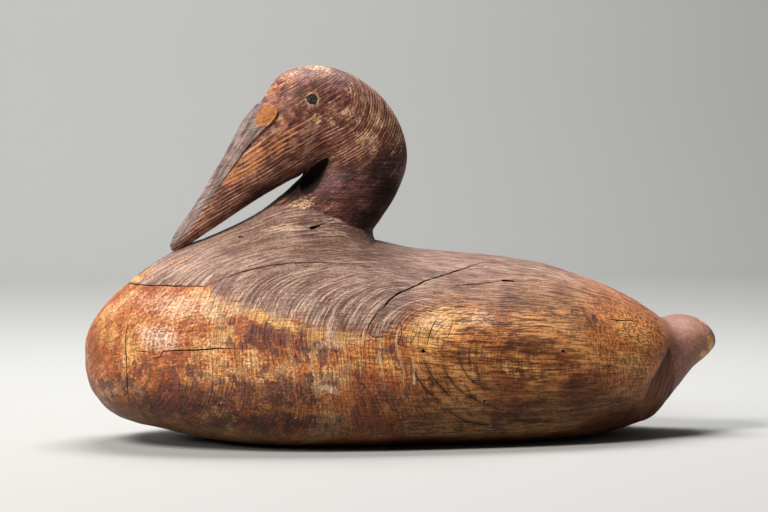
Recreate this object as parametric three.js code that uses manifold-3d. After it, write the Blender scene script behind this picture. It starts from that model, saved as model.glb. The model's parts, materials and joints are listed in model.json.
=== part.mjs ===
// A preening eider decoy, carved in wood.
//
// The body is one block: a broad hull with a domed back, a lower edge that runs all round,
// a shallow underside that is flat in the middle, and a blunt upturned tail.
// The head, neck and shoulder seat are a second block. The seat is let into a flat-floored
// notch in the body, flush with the breast, and the bill comes down to rest on the breast.
// Each eye is a small round disc, set in a shallow hole in the side of the head.
//
// Units are millimetres. +Z is up, the bill points to -X, and the tail to +X.
// The origin lies under the middle of the decoy, on the surface that it stands on.

import * as THREE from "three";
import { mergeVertices } from "three/addons/utils/BufferGeometryUtils.js";
import Module from "manifold-3d";

const wasm = await Module();
wasm.setup();

// Driving dimensions

const LENGTH = 460;
const JOINT_GAP = 0.3; // clearance wherever two pieces meet

// The hull, as profiles along X from the breast to the tip of the tail.
// Rows are [x, height] or [x, half width].
const BACK_LINE = [
  [-230, 66], [-227, 80], [-220, 92], [-206, 107], [-183, 125], [-156, 139.5], [-113, 149.5],
  [-77, 149.5], [-41, 145], [-19, 140.5], [1, 135.8], [25, 133.2], [60, 130], [96, 124.5],
  [132, 113], [169, 96.8], [181, 88.8], [188.5, 84.6], [196, 85.5], [207, 85.5], [217, 83],
  [225, 77.5], [230, 66],
];
const HALF_WIDTH = [
  [-230, 0], [-215, 46], [-190, 71], [-150, 90], [-100, 103.5], [-50, 108], [10, 107], [70, 101],
  [120, 88], [150, 74], [171, 58], [185, 43], [195, 36], [207, 34.5], [218, 31], [226, 20],
  [230, 0],
];
// Where the lower curve of each section would meet the middle plane, if no underside cut it off.
const KEEL_LINE = [
  [-230, 66], [-228.5, 47], [-222, 32], [-211, 21], [-195, 14.3], [-178, 10.3], [-160, 6],
  [-130, -0.5], [-95, -6], [0, -9], [95, -6], [140, 2], [165, 7.2], [180.5, 10.8], [189.5, 19.5],
  [199.3, 31], [208.2, 43], [220, 53.5], [230, 66],
];
const WIDEST_HEIGHT = [
  [-230, 66], [-200, 58], [-150, 52], [0, 50], [120, 53], [170, 60], [200, 66], [230, 66],
];
// Exponent of the lower half of each section: 2 is an ellipse, more is squarer.
const SIDE_ROUNDNESS = [
  [-230, 2.3], [-172, 2.4], [-100, 3.2], [0, 3.4], [100, 3.2], [160, 2.5], [230, 2.2],
];
const BACK_ROUNDNESS = 1.85; // exponent of the domed back: 2 is an ellipse, less is more pointed
const EDGE_HEIGHT = 10.5; // height of the lower edge above the floor
const UNDERSIDE_DEPTH = 12.5; // how far the underside bellies out below that edge
const UNDERSIDE_MIDDLE = 2; // x of the middle of the underside
const UNDERSIDE_REACH = 180; // half its length

// The seat of the neck, let into the body.
const SEAT_FLOOR = 112; // height of the notch's flat floor
const SEAT_HALF_WIDTH = 62;
const SEAT_BACK = -16; // x of the notch's back wall

// The head and neck, as ribs that run from the underside of the bill and the throat
// out to the bill's ridge, the crown and the nape: [outer x, outer z, inner x, inner z, half width].
const RIBS = [
  [-170.3, 138.2, -167.0, 133.4, 3.5],
  [-167.3, 144.6, -160.5, 136.8, 8.5],
  [-161.0, 154.4, -149.5, 143.8, 12.0],
  [-151.0, 168.5, -133.5, 154.3, 15.0],
  [-141.5, 182.8, -117.0, 164.9, 17.0],
  [-128.3, 203.9, -99.5, 175.8, 20.0],
  [-116.5, 225.1, -86.5, 183.2, 24.5],
  [-102.8, 242.4, -79.5, 186.6, 28.5],
  [-93.8, 256.0, -77.2, 188.2, 31.0],
  [-81.0, 263.0, -76.2, 189.0, 32.3],
  [-61.0, 265.0, -75.5, 189.3, 33.0],
  [-36.5, 257.0, -75.0, 189.2, 33.5],
  [-14.5, 238.2, -74.8, 188.8, 33.0],
  [-2.6, 214.5, -75.0, 187.9, 31.5],
  [-1.2, 194.0, -76.0, 186.2, 30.0],
  [-8.6, 174.0, -79.5, 183.0, 29.5],
  [-18.8, 157.8, -85.2, 177.6, 30.5],
  [-24.8, 149.5, -93.5, 170.8, 32.5],
];
const BILL_TIP_X = -169.9;
const BILL_TIP_Z = 135.2;
const RIB_ROUNDNESS = 2.25;
const RIB_WIDEST = 0.52; // share of a rib, from its inner end, at which the section is widest

// The flare by which the neck spreads into the seat.
const FLARE_MIDDLE = -60;
const FLARE_FRONT = 98;
const FLARE_BACK = 37;
const FLARE_HALF_WIDTH = 56;
const FLARE_SUNK = 0.8; // how far its foot lies under the faceted back
const FLARE_ROOT = 12; // how deep its root goes into the seat
const FLARE_ROOT_TAPER = 0.1;
const FLARE_PULL = 0.34; // how far its curve follows the neck and the back, as a share of its length

// The plate of the bill, raised above the face, with a lobe that runs up the forehead.
const PLATE_RISE = 1.8;
const LOBE_SPACING = 0.35; // share of the half width over which the dip between the two lobes runs
const PLATE_REACH = 0.6; // share of the ribs over which the larger head for it runs
const PLATE_EDGE = [
  [-166, 138], [-151, 160], [-138.4, 179.2], [-127.8, 193.8], [-118.4, 207.7], [-109, 218.2],
  [-102, 225.5], [-98.4, 232.4], [-100.5, 238.5], [-106, 242.5], [-113, 246],
];

// The eyes.
const EYE_X = -74.3;
const EYE_Z = 240.3;
const EYE_RADIUS = 3.3;
const EYE_THICKNESS = 2.4;
const EYE_RECESS = 0.4; // how far the disc's face lies below the rim of its hole

const WELD = 1e-4; // points closer than this are one

// How finely the surfaces are divided.
const HULL_RINGS = 66;
const BACK_STEPS = 10;
const SIDE_STEPS = 4;
const UNDERSIDE_STEPS = 4;
const HEAD_RINGS = 44;
const HEAD_SIDES = 30;
const FLARE_RINGS = 6;
const EYE_SIDES = 20;
const PLATE_EDGE_STEPS = 40;

const WOOD_BROWN = 0x96663f;
const PAINT_BROWN = 0x7a5546;
const TACK_GREY = 0x4c4a40;

// Smooth curves through a few rows of numbers

// A curve through [u, value] rows, with each slope taken from the parabola through three rows.
function smoothCurve(rows) {
  const gap = (i) => rows[i + 1][0] - rows[i][0];
  const rise = (i) => (rows[i + 1][1] - rows[i][1]) / gap(i);
  const last = rows.length - 1;
  const slopes = rows.map((row, i) => {
    if (i === 0) return rise(0);
    if (i === last) return rise(last - 1);
    return (rise(i - 1) * gap(i) + rise(i) * gap(i - 1)) / (gap(i - 1) + gap(i));
  });
  return (u) => {
    let i = 0;
    while (i < last - 1 && u > rows[i + 1][0]) i += 1;
    const h = gap(i);
    const t = THREE.MathUtils.clamp((u - rows[i][0]) / h, 0, 1);
    const a = (1 + 2 * t) * (1 - t) ** 2 * rows[i][1] + t * (1 - t) ** 2 * h * slopes[i];
    const b = t * t * (3 - 2 * t) * rows[i + 1][1] - t * t * (1 - t) * h * slopes[i + 1];
    return a + b;
  };
}

// Along the hull a profile runs on the angle of a half circle, so that both of its ends come out round.
const angleOf = (x) => Math.acos(THREE.MathUtils.clamp((-2 * x) / LENGTH, -1, 1));
const xOf = (angle) => (-LENGTH / 2) * Math.cos(angle);

function profile(rows) {
  const curve = smoothCurve(rows.map(([x, value]) => [angleOf(x), value]));
  return (x) => curve(angleOf(x));
}

const backLine = profile(BACK_LINE);
const halfWidth = profile(HALF_WIDTH);
const keelLine = profile(KEEL_LINE);
const widestHeight = profile(WIDEST_HEIGHT);
const sideRoundness = profile(SIDE_ROUNDNESS);

// Closed surfaces

// A closed geometry from rings of points, with a fan of triangles to a pole at each end.
function loft(rings, firstPole, lastPole) {
  const points = [firstPole, ...rings.flat(), lastPole];
  const n = rings[0].length;
  const at = (r, k) => 1 + r * n + (k % n);
  const faces = [];
  for (let k = 0; k < n; k += 1) {
    faces.push([0, at(0, k + 1), at(0, k)]);
    faces.push([points.length - 1, at(rings.length - 1, k), at(rings.length - 1, k + 1)]);
    for (let r = 0; r + 1 < rings.length; r += 1) {
      faces.push([at(r, k), at(r, k + 1), at(r + 1, k)]);
      faces.push([at(r, k + 1), at(r + 1, k + 1), at(r + 1, k)]);
    }
  }
  const geometry = new THREE.BufferGeometry().setFromPoints(points);
  geometry.setIndex(faces.flat());
  return geometry;
}

// A manifold solid from a geometry. Shared vertices are merged, and triangles without area go.
function solidOf(geometry) {
  const bare = geometry.clone();
  bare.deleteAttribute("normal");
  bare.deleteAttribute("uv");
  const merged = mergeVertices(bare, WELD);
  const index = merged.index.array;
  const kept = [];
  for (let i = 0; i < index.length; i += 3) {
    const [a, b, c] = index.slice(i, i + 3);
    if (a !== b && b !== c && c !== a) kept.push(a, b, c);
  }
  const solidFrom = (triangles) =>
    new wasm.Manifold(
      new wasm.Mesh({
        numProp: 3,
        vertProperties: merged.attributes.position.array,
        triVerts: new Uint32Array(triangles),
      }),
    );
  const made = solidFrom(kept);
  return made.volume() > 0 ? made : solidFrom(kept.reverse());
}

function geometryOf(solid) {
  const mesh = solid.getMesh();
  const geometry = new THREE.BufferGeometry();
  geometry.setAttribute("position", new THREE.BufferAttribute(mesh.vertProperties, 3));
  geometry.setIndex(new THREE.BufferAttribute(mesh.triVerts, 1));
  geometry.computeVertexNormals();
  return geometry;
}

// A block between two opposite corners.
function block(low, high) {
  const size = new THREE.Vector3().subVectors(high, low);
  const geometry = new THREE.BoxGeometry(size.x, size.y, size.z);
  geometry.translate((low.x + high.x) / 2, (low.y + high.y) / 2, (low.z + high.z) / 2);
  return solidOf(geometry);
}

// The hull

// Half of the section at x, from the middle of the back down to the middle of the underside.
function hullHalfSection(x) {
  const top = backLine(x);
  const wide = Math.max(halfWidth(x), 0.05);
  const widest = widestHeight(x);
  const keel = keelLine(x);
  const squareness = sideRoundness(x);
  const points = [];
  for (let k = 0; k < BACK_STEPS; k += 1) {
    const angle = (Math.PI / 2) * (1 - k / BACK_STEPS);
    const y = wide * Math.cos(angle) ** (2 / BACK_ROUNDNESS);
    const z = widest + (top - widest) * Math.sin(angle) ** (2 / BACK_ROUNDNESS);
    points.push([y, z]);
  }
  // The side curves down to the lower edge or, where it stops short of that, to the middle.
  const edgeShare = THREE.MathUtils.clamp((widest - EDGE_HEIGHT) / (widest - keel), 0, 1);
  const edgeAngle = Math.asin(edgeShare ** (squareness / 2));
  for (let k = 0; k <= SIDE_STEPS; k += 1) {
    const angle = (edgeAngle * k) / SIDE_STEPS;
    const y = wide * Math.max(Math.cos(angle), 0) ** (2 / squareness);
    const z = widest - (widest - keel) * Math.sin(angle) ** (2 / squareness);
    points.push([y < 0.02 ? 0 : y, z]);
  }
  // The underside bellies down from the edge, and is flattest in the middle.
  const [edgeY, edgeZ] = points[points.length - 1];
  const along = THREE.MathUtils.clamp((x - UNDERSIDE_MIDDLE) / UNDERSIDE_REACH, -1, 1);
  const depth = edgeY > 0 ? UNDERSIDE_DEPTH * (1 - along ** 4) : 0;
  for (let k = 1; k <= UNDERSIDE_STEPS; k += 1) {
    const share = 1 - k / UNDERSIDE_STEPS;
    points.push([edgeY * share, edgeZ - depth * (1 - share ** 4)]);
  }
  return points;
}

function hullRing(x) {
  const half = hullHalfSection(x);
  const near = half.map(([y, z]) => new THREE.Vector3(x, -y, z));
  const far = half.slice(1, -1).reverse().map(([y, z]) => new THREE.Vector3(x, y, z));
  return [...near, ...far];
}

function hullSolid() {
  const rings = [];
  for (let k = 1; k < HULL_RINGS; k += 1) rings.push(hullRing(xOf((Math.PI * k) / HULL_RINGS)));
  const breast = new THREE.Vector3(-LENGTH / 2, 0, backLine(-LENGTH / 2));
  const tail = new THREE.Vector3(LENGTH / 2, 0, backLine(LENGTH / 2));
  const whole = solidOf(loft(rings, breast, tail));
  const ground = block(
    new THREE.Vector3(-LENGTH, -LENGTH, -LENGTH),
    new THREE.Vector3(LENGTH, LENGTH, 0),
  );
  return whole.subtract(ground);
}

// Height of the back at a point of the plan.
function backHeight(x, y) {
  const widest = widestHeight(x);
  const share = Math.min(Math.abs(y) / halfWidth(x), 1);
  return widest + (backLine(x) - widest) * (1 - share ** BACK_ROUNDNESS) ** (1 / BACK_ROUNDNESS);
}

// The head and neck

const ribCurves = [0, 1, 2, 3, 4].map((column) =>
  smoothCurve(RIBS.map((rib, i) => [i / (RIBS.length - 1), rib[column]])),
);

// A point of the section on the rib at share t, at an angle that is 0 at the rib's outer end.
function headPoint(t, angle, grown) {
  const [ox, oz, ix, iz, half] = ribCurves.map((curve) => curve(t));
  const rib = new THREE.Vector3(ox - ix, 0, oz - iz);
  const length = rib.length();
  rib.normalize();
  const power = (value) => Math.sign(value) * Math.abs(value) ** (2 / RIB_ROUNDNESS);
  const reach = Math.cos(angle) > 0 ? length * (1 - RIB_WIDEST) : length * RIB_WIDEST;
  const middle = new THREE.Vector3(ix, 0, iz).addScaledVector(rib, length * RIB_WIDEST);
  const point = middle.addScaledVector(rib, (reach + grown) * power(Math.cos(angle)));
  point.y = -(half + grown) * power(Math.sin(angle));
  return point;
}

const sideAngle = (k) => (2 * Math.PI * k) / HEAD_SIDES;
const headRing = (t, growth = () => 0) =>
  Array.from({ length: HEAD_SIDES }, (_, k) => headPoint(t, sideAngle(k), growth(sideAngle(k))));

// Where the flare meets the back, at one angle round the neck.
function flareFoot(angle) {
  const reach = Math.cos(angle) > 0 ? FLARE_BACK : FLARE_FRONT;
  const x = FLARE_MIDDLE + reach * Math.cos(angle);
  const y = -FLARE_HALF_WIDTH * Math.sin(angle);
  return new THREE.Vector3(x, y, backHeight(x, y));
}

// A curve that leaves the neck along its wall and arrives along the back.
function flareCurve(angle) {
  const start = headPoint(1, angle, 0);
  const wall = start.clone().sub(headPoint(0.97, angle, 0)).normalize();
  const foot = flareFoot(angle);
  const inward = new THREE.Vector3(start.x - foot.x, start.y - foot.y, 0).normalize();
  const step = foot.clone().add(inward);
  inward.z = backHeight(step.x, step.y) - foot.z;
  inward.normalize();
  foot.z -= FLARE_SUNK;
  const pull = FLARE_PULL * start.distanceTo(foot);
  return new THREE.CubicBezierCurve3(
    start,
    start.clone().addScaledVector(wall, pull),
    foot.clone().addScaledVector(inward, pull),
    foot,
  );
}

function headSolid() {
  const rings = [];
  for (let k = 0; k <= HEAD_RINGS; k += 1) rings.push(headRing(k / HEAD_RINGS));
  const curves = rings[0].map((_, k) => flareCurve(sideAngle(k)));
  for (let k = 1; k <= FLARE_RINGS; k += 1) {
    rings.push(curves.map((curve) => curve.getPoint(k / FLARE_RINGS)));
  }
  const middle = new THREE.Vector3(FLARE_MIDDLE, 0, backLine(FLARE_MIDDLE));
  const down = new THREE.Vector3(0, 0, -FLARE_ROOT);
  const foot = rings[rings.length - 1];
  rings.push(foot.map((point) => point.clone().lerp(middle, FLARE_ROOT_TAPER).add(down)));
  const tip = new THREE.Vector3(BILL_TIP_X, 0, BILL_TIP_Z);
  return solidOf(loft(rings, tip, middle.addScaledVector(down, 2)));
}

const centreOf = (ring) =>
  ring.reduce((sum, point) => sum.add(point), new THREE.Vector3()).divideScalar(ring.length);

// How far the plate stands above the face. It fades towards the bill's tip and between the lobes.
function plateRise(t, angle) {
  const fromTip = THREE.MathUtils.smoothstep(t, 0.08, 0.24);
  const nearLobes = THREE.MathUtils.smoothstep(t, 0.28, 0.4);
  const between = nearLobes * Math.exp(-((Math.sin(angle) / LOBE_SPACING) ** 2));
  return PLATE_RISE * (1.3 * fromTip - 0.3) * (1 - 0.8 * between);
}

// The raised plate: a slightly larger head, cut off along the plate's edge.
function plateSolid() {
  const rings = [];
  for (let k = 1; k <= HEAD_RINGS * PLATE_REACH; k += 1) {
    const t = k / HEAD_RINGS;
    rings.push(headRing(t, (angle) => plateRise(t, angle)));
  }
  const larger = solidOf(loft(rings, centreOf(rings[0]), centreOf(rings[rings.length - 1])));

  // A curtain whose outline is the plate's edge, closed well in front of the bill.
  const edge = new THREE.SplineCurve(PLATE_EDGE.map(([x, z]) => new THREE.Vector2(x, z)));
  const front = -LENGTH / 2;
  const corners = [PLATE_EDGE[PLATE_EDGE.length - 1], PLATE_EDGE[0]];
  const outline = new THREE.Shape([
    ...edge.getPoints(PLATE_EDGE_STEPS),
    ...corners.map(([, z]) => new THREE.Vector2(front, z)),
  ]);
  const curtain = new THREE.ExtrudeGeometry(outline, { depth: LENGTH, bevelEnabled: false });
  curtain.rotateX(Math.PI / 2);
  curtain.translate(0, LENGTH / 2, 0);
  return larger.intersect(solidOf(curtain));
}

// The eyes

// The point and outward direction on the side of the head where an eye sits. Side is -1 or 1 along Y.
function eyeSeat(head, side) {
  const target = new THREE.Mesh(head, new THREE.MeshBasicMaterial());
  const from = new THREE.Vector3(EYE_X, side * LENGTH, EYE_Z);
  const hit = new THREE.Raycaster(from, new THREE.Vector3(0, -side, 0)).intersectObject(target)[0];
  return { point: hit.point, out: hit.face.normal.clone() };
}

// A round disc whose axis is turned to the given direction, with its face at the given point.
function disc(radius, thickness, point, out) {
  const geometry = new THREE.CylinderGeometry(radius, radius, thickness, EYE_SIDES);
  geometry.translate(0, -thickness / 2, 0);
  geometry.applyQuaternion(new THREE.Quaternion().setFromUnitVectors(new THREE.Vector3(0, 1, 0), out));
  geometry.translate(point.x, point.y, point.z);
  return solidOf(geometry);
}

// Assembly

const hull = hullSolid();
const head = headSolid().add(plateSolid());

const notch = (gap) =>
  block(
    new THREE.Vector3(-LENGTH, -SEAT_HALF_WIDTH - gap, SEAT_FLOOR - gap),
    new THREE.Vector3(SEAT_BACK + gap, SEAT_HALF_WIDTH + gap, 2 * SEAT_FLOOR),
  );

const bodySolid = hull.subtract(notch(JOINT_GAP));
let headAndNeckSolid = hull.intersect(notch(0)).add(head);

const seats = [-1, 1].map((side) => eyeSeat(geometryOf(headAndNeckSolid), side));
const eyeSolids = seats.map(({ point, out }) => {
  const face = point.clone().addScaledVector(out, -EYE_RECESS);
  return disc(EYE_RADIUS, EYE_THICKNESS, face, out);
});
for (const { point, out } of seats) {
  const mouth = point.clone().addScaledVector(out, EYE_RADIUS);
  const depth = EYE_RADIUS + EYE_RECESS + EYE_THICKNESS + JOINT_GAP;
  const hole = disc(EYE_RADIUS + JOINT_GAP, depth, mouth, out);
  headAndNeckSolid = headAndNeckSolid.subtract(hole);
}

function piece(name, solid, colour, roughness, metalness = 0) {
  const material = new THREE.MeshStandardMaterial({ color: colour, roughness, metalness });
  const mesh = new THREE.Mesh(geometryOf(solid), material);
  mesh.name = name;
  return mesh;
}

const decoy = new THREE.Group();
decoy.name = "eider_decoy";
decoy.add(
  piece("body", bodySolid, WOOD_BROWN, 0.6),
  piece("head_and_neck", headAndNeckSolid, PAINT_BROWN, 0.65),
  piece("eye_left", eyeSolids[0], TACK_GREY, 0.55, 0.6),
  piece("eye_right", eyeSolids[1], TACK_GREY, 0.55, 0.6),
);

export default decoy;
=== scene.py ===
# %% [markdown]
# # An old eider decoy
#
# This is a hunter's decoy: an eider duck carved in wood, preening, with its bill laid on its breast.
# Two blocks make it. The hull is one, with the tail on it. Head, bill and neck are the other, and
# its flat foot is let into a notch of the hull. Two small discs are the eyes.
#
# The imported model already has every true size. We load it first and build the skin over it.

import json
import math

import bpy
import numpy as np
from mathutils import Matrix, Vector
from mathutils.bvhtree import BVHTree

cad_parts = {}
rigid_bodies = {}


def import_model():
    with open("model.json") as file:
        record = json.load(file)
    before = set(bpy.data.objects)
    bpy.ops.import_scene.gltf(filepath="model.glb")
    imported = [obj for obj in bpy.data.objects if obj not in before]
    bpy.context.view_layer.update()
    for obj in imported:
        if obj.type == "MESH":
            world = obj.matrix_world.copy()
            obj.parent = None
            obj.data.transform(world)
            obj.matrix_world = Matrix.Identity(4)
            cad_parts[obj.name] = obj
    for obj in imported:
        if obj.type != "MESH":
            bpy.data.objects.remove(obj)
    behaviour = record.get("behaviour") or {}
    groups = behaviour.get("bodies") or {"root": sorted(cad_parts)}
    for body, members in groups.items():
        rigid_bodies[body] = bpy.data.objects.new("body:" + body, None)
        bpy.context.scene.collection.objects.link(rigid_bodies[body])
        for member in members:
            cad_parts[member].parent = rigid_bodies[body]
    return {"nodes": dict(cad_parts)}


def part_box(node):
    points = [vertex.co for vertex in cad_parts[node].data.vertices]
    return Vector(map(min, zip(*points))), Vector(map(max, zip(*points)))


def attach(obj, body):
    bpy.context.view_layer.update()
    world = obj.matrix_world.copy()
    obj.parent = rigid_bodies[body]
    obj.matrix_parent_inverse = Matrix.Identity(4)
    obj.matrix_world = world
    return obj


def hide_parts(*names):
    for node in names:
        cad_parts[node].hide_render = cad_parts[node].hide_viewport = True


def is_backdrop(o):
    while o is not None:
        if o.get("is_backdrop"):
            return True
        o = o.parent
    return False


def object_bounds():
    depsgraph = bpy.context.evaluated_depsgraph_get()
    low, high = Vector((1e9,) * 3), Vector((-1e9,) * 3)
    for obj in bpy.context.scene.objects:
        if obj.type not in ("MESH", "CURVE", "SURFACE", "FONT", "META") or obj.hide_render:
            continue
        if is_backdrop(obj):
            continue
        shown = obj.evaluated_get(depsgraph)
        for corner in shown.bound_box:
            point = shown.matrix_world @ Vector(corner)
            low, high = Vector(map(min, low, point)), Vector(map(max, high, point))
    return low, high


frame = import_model()
bpy.context.view_layer.update()
print("nodes:", sorted(frame["nodes"]))

# %% [markdown]
# ## Curves as on a carver's drawing
#
# A hull is best described by a few profiles: its back line, its half width, its lower line. Each is
# a short list of places and values in millimetres, with a smooth curve through them. One could also
# push vertices by hand, but a profile can be read, and changed later in one place.

# %% A smooth curve through a few rows of numbers
MM = 0.001  # the drawing is in millimetres, Blender is in metres
LENGTH = 460


def smooth_curve(rows):
    """A curve through rows of (place, value). Each slope is that of the parabola through three rows."""
    place, value = np.array(rows, float).T
    gap = np.diff(place)
    rise = np.diff(value) / gap
    inner = (rise[:-1] * gap[1:] + rise[1:] * gap[:-1]) / (gap[:-1] + gap[1:])
    slope = np.concatenate((rise[:1], inner, rise[-1:]))

    def curve(at):
        i = np.clip(np.searchsorted(place, at) - 1, 0, len(gap) - 1)
        h = gap[i]
        t = np.clip((at - place[i]) / h, 0, 1)
        start = (1 + 2 * t) * (1 - t) ** 2 * value[i] + t * (1 - t) ** 2 * h * slope[i]
        end = t * t * (3 - 2 * t) * value[i + 1] - t * t * (1 - t) * h * slope[i + 1]
        return start + end

    return curve


def half_circle(x):
    """The angle of a half circle over the hull's length. It makes both ends of a profile round."""
    return np.arccos(np.clip(-2 * np.asarray(x, float) / LENGTH, -1, 1))


def profile(rows):
    curve = smooth_curve([(float(half_circle(x)), value) for x, value in rows])
    return lambda x: curve(half_circle(x))


def smoothstep(value, low, high):
    t = np.clip((value - low) / (high - low), 0, 1)
    return t * t * (3 - 2 * t)


def bell(value, middle, reach):
    """1 at the middle, and nearly 0 at twice the reach from it."""
    return np.exp(-(((value - middle) / reach) ** 2))


print("a smooth step from 0 to 4:", [round(float(smoothstep(at, 0, 4)), 2) for at in range(5)])

# %% [markdown]
# ## The hull's profiles
#
# These rows are the same as in the part's own source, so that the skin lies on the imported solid.

# %% The hull's profiles
BACK_LINE = [
    (-230, 66), (-227, 80), (-220, 92), (-206, 107), (-183, 125), (-156, 139.5), (-113, 149.5),
    (-77, 149.5), (-41, 145), (-19, 140.5), (1, 135.8), (25, 133.2), (60, 130), (96, 124.5),
    (132, 113), (169, 96.8), (181, 88.8), (188.5, 84.6), (196, 85.5), (207, 85.5), (217, 83),
    (225, 77.5), (230, 66),
]
HALF_WIDTH = [
    (-230, 0), (-215, 46), (-190, 71), (-150, 90), (-100, 103.5), (-50, 108), (10, 107), (70, 101),
    (120, 88), (150, 74), (171, 58), (185, 43), (195, 36), (207, 34.5), (218, 31), (226, 20),
    (230, 0),
]
KEEL_LINE = [
    (-230, 66), (-228.5, 47), (-222, 32), (-211, 21), (-195, 14.3), (-178, 10.3), (-160, 6),
    (-130, -0.5), (-95, -6), (0, -9), (95, -6), (140, 2), (165, 7.2), (180.5, 10.8), (189.5, 19.5),
    (199.3, 31), (208.2, 43), (220, 53.5), (230, 66),
]
WIDEST_HEIGHT = [
    (-230, 66), (-200, 58), (-150, 52), (0, 50), (120, 53), (170, 60), (200, 66), (230, 66),
]
SIDE_ROUNDNESS = [
    (-230, 2.3), (-172, 2.4), (-100, 3.2), (0, 3.4), (100, 3.2), (160, 2.5), (230, 2.2),
]
BACK_ROUNDNESS = 1.85  # 2 would be an ellipse
EDGE_HEIGHT = 10.5  # the crisp lower edge is at most this high
UNDERSIDE_DEPTH = 12.5
UNDERSIDE_MIDDLE = 2
UNDERSIDE_REACH = 180
THINNEST = 0.05

back_line = profile(BACK_LINE)
half_width = profile(HALF_WIDTH)
keel_line = profile(KEEL_LINE)
widest_height = profile(WIDEST_HEIGHT)
side_roundness = profile(SIDE_ROUNDNESS)


def back_height(x, y):
    """Height of the back at a point of the plan."""
    widest = widest_height(x)
    share = np.minimum(np.abs(y) / half_width(x), 1)
    arch = (1 - share**BACK_ROUNDNESS) ** (1 / BACK_ROUNDNESS)
    return widest + (back_line(x) - widest) * arch


print("height of the back over the notch:", round(float(back_height(-100.0, 0.0)), 1), "mm")

# %% [markdown]
# ## The hull's skin
#
# The hull is a loft: section after section along its length, each one a closed ring of points.
# Carved wood needs a dense and even mesh, or its relief comes out in steps. So each section is
# first drawn very finely and then divided again into equal steps, with one point kept exactly on
# the crisp lower edge. The sections too stand at equal steps, measured round the plan.

# %% One section of the hull, in equal steps
HULL_RINGS = 330
TOP_STEPS = 112  # on each side, from the middle of the back down to the lower edge
UNDERSIDE_STEPS = 12
FINE_STEPS = 300


def fine_half_section(x):
    """The half section at x, as many points (y, z), and the number of the point on the lower edge."""
    top, wide = back_line(x), max(float(half_width(x)), THINNEST)
    widest, keel, roundness = widest_height(x), keel_line(x), side_roundness(x)
    angle = np.linspace(math.pi / 2, 0, FINE_STEPS, endpoint=False)
    back_y = wide * np.cos(angle) ** (2 / BACK_ROUNDNESS)
    back_z = widest + (top - widest) * np.sin(angle) ** (2 / BACK_ROUNDNESS)
    edge_share = np.clip((widest - EDGE_HEIGHT) / (widest - keel), 0, 1)
    edge_angle = math.asin(edge_share ** (roundness / 2))
    angle = edge_angle * np.linspace(0, 1, 2 * FINE_STEPS) ** 2
    side_y = wide * np.maximum(np.cos(angle), 0) ** (2 / roundness)
    side_z = widest - (widest - keel) * np.sin(angle) ** (2 / roundness)
    side_y = np.maximum(side_y, THINNEST)
    along = np.clip((x - UNDERSIDE_MIDDLE) / UNDERSIDE_REACH, -1, 1)
    depth = UNDERSIDE_DEPTH * (1 - along**4) if side_y[-1] > THINNEST else 0
    share = np.linspace(1, 0, FINE_STEPS)[1:]
    under_y = side_y[-1] * share
    under_z = side_z[-1] - depth * (1 - share**4)
    y = np.concatenate((back_y, side_y, under_y))
    z = np.concatenate((back_z, side_z, under_z))
    return y, z, len(back_y) + len(side_y) - 1


def hull_ring(x):
    """The closed section at x: down the near side and up the far side."""
    y, z, edge = fine_half_section(x)
    walked = np.concatenate(([0], np.cumsum(np.hypot(np.diff(y), np.diff(z)))))
    down = np.linspace(0, walked[edge], TOP_STEPS + 1)
    under = np.linspace(walked[edge], walked[-1], UNDERSIDE_STEPS + 1)[1:]
    steps = np.concatenate((down, under))
    y, z = np.interp(steps, walked, y), np.interp(steps, walked, z)
    near = np.column_stack((np.full_like(y, x), -y, z))
    far = near[1:-1][::-1] * (1, -1, 1)
    return np.concatenate((near, far))


def hull_places():
    """Places along the hull at equal steps round its plan."""
    x = -LENGTH / 2 * np.cos(np.linspace(0, math.pi, 2001))
    walked = np.concatenate(([0], np.cumsum(np.hypot(np.diff(x), np.diff(half_width(x))))))
    return np.interp(np.linspace(0, walked[-1], HULL_RINGS + 2)[1:-1], walked, x)


hull_rings = np.array([hull_ring(x) for x in hull_places()])
steps = np.linalg.norm(np.diff(hull_rings[HULL_RINGS // 2], axis=0), axis=1)
print("the hull's rings:", hull_rings.shape, "points are up to", round(float(steps.max()), 2), "mm apart")

# %% [markdown]
# ## Growth rings
#
# On a carved block the growth rings of the tree come out as lines: nearly upright on the breast,
# level on the back, and ovals on the flank, where the knife ran along them. One number per point
# gives all of this: how far the point lies from the heart of the tree. Lines then are the places
# where that number is the same. We need it twice, for the relief and for the colour, so it is
# worked out here once, from the point's position alone. Two pieces that meet then agree.

# %% Slow random change, and the rings of the two blocks
LATTICE = np.random.default_rng(11).uniform(-1, 1, (32, 32, 32))


def drift(points, size, layer=0):
    """Smooth random change between -1 and 1, over about `size` millimetres."""
    place = points / size + layer * np.array((3.7, 9.1, 5.3))
    cell = np.floor(place).astype(int)
    t = place - cell
    t = t * t * (3 - 2 * t)
    total = np.zeros(len(points))
    for corner in np.ndindex(2, 2, 2):
        weight = np.prod(np.where(corner, t, 1 - t), axis=1)
        i, j, k = ((cell + corner) % 32).T
        total += weight * LATTICE[i, j, k]
    return total


HULL_HEART = (100, -88, 47)  # where the heart of the tree comes out of the near side
HULL_HEART_BACK = 0.35  # how far it runs towards the breast for each millimetre into the block
HULL_HEART_DOWN = 0.8  # and how far down
HULL_OVAL = 2.0  # the ovals are so much longer than high
HULL_SQUARENESS = 2.6  # 2 would be an ellipse
HEAD_HEART = (-65, 243)
HEAD_HEART_DEPTH = 12  # the heart lies so far below the cheek, so no ring closes on the surface
HEAD_GRAIN = (-0.853, -0.522)  # the way the grain runs down the bill


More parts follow.
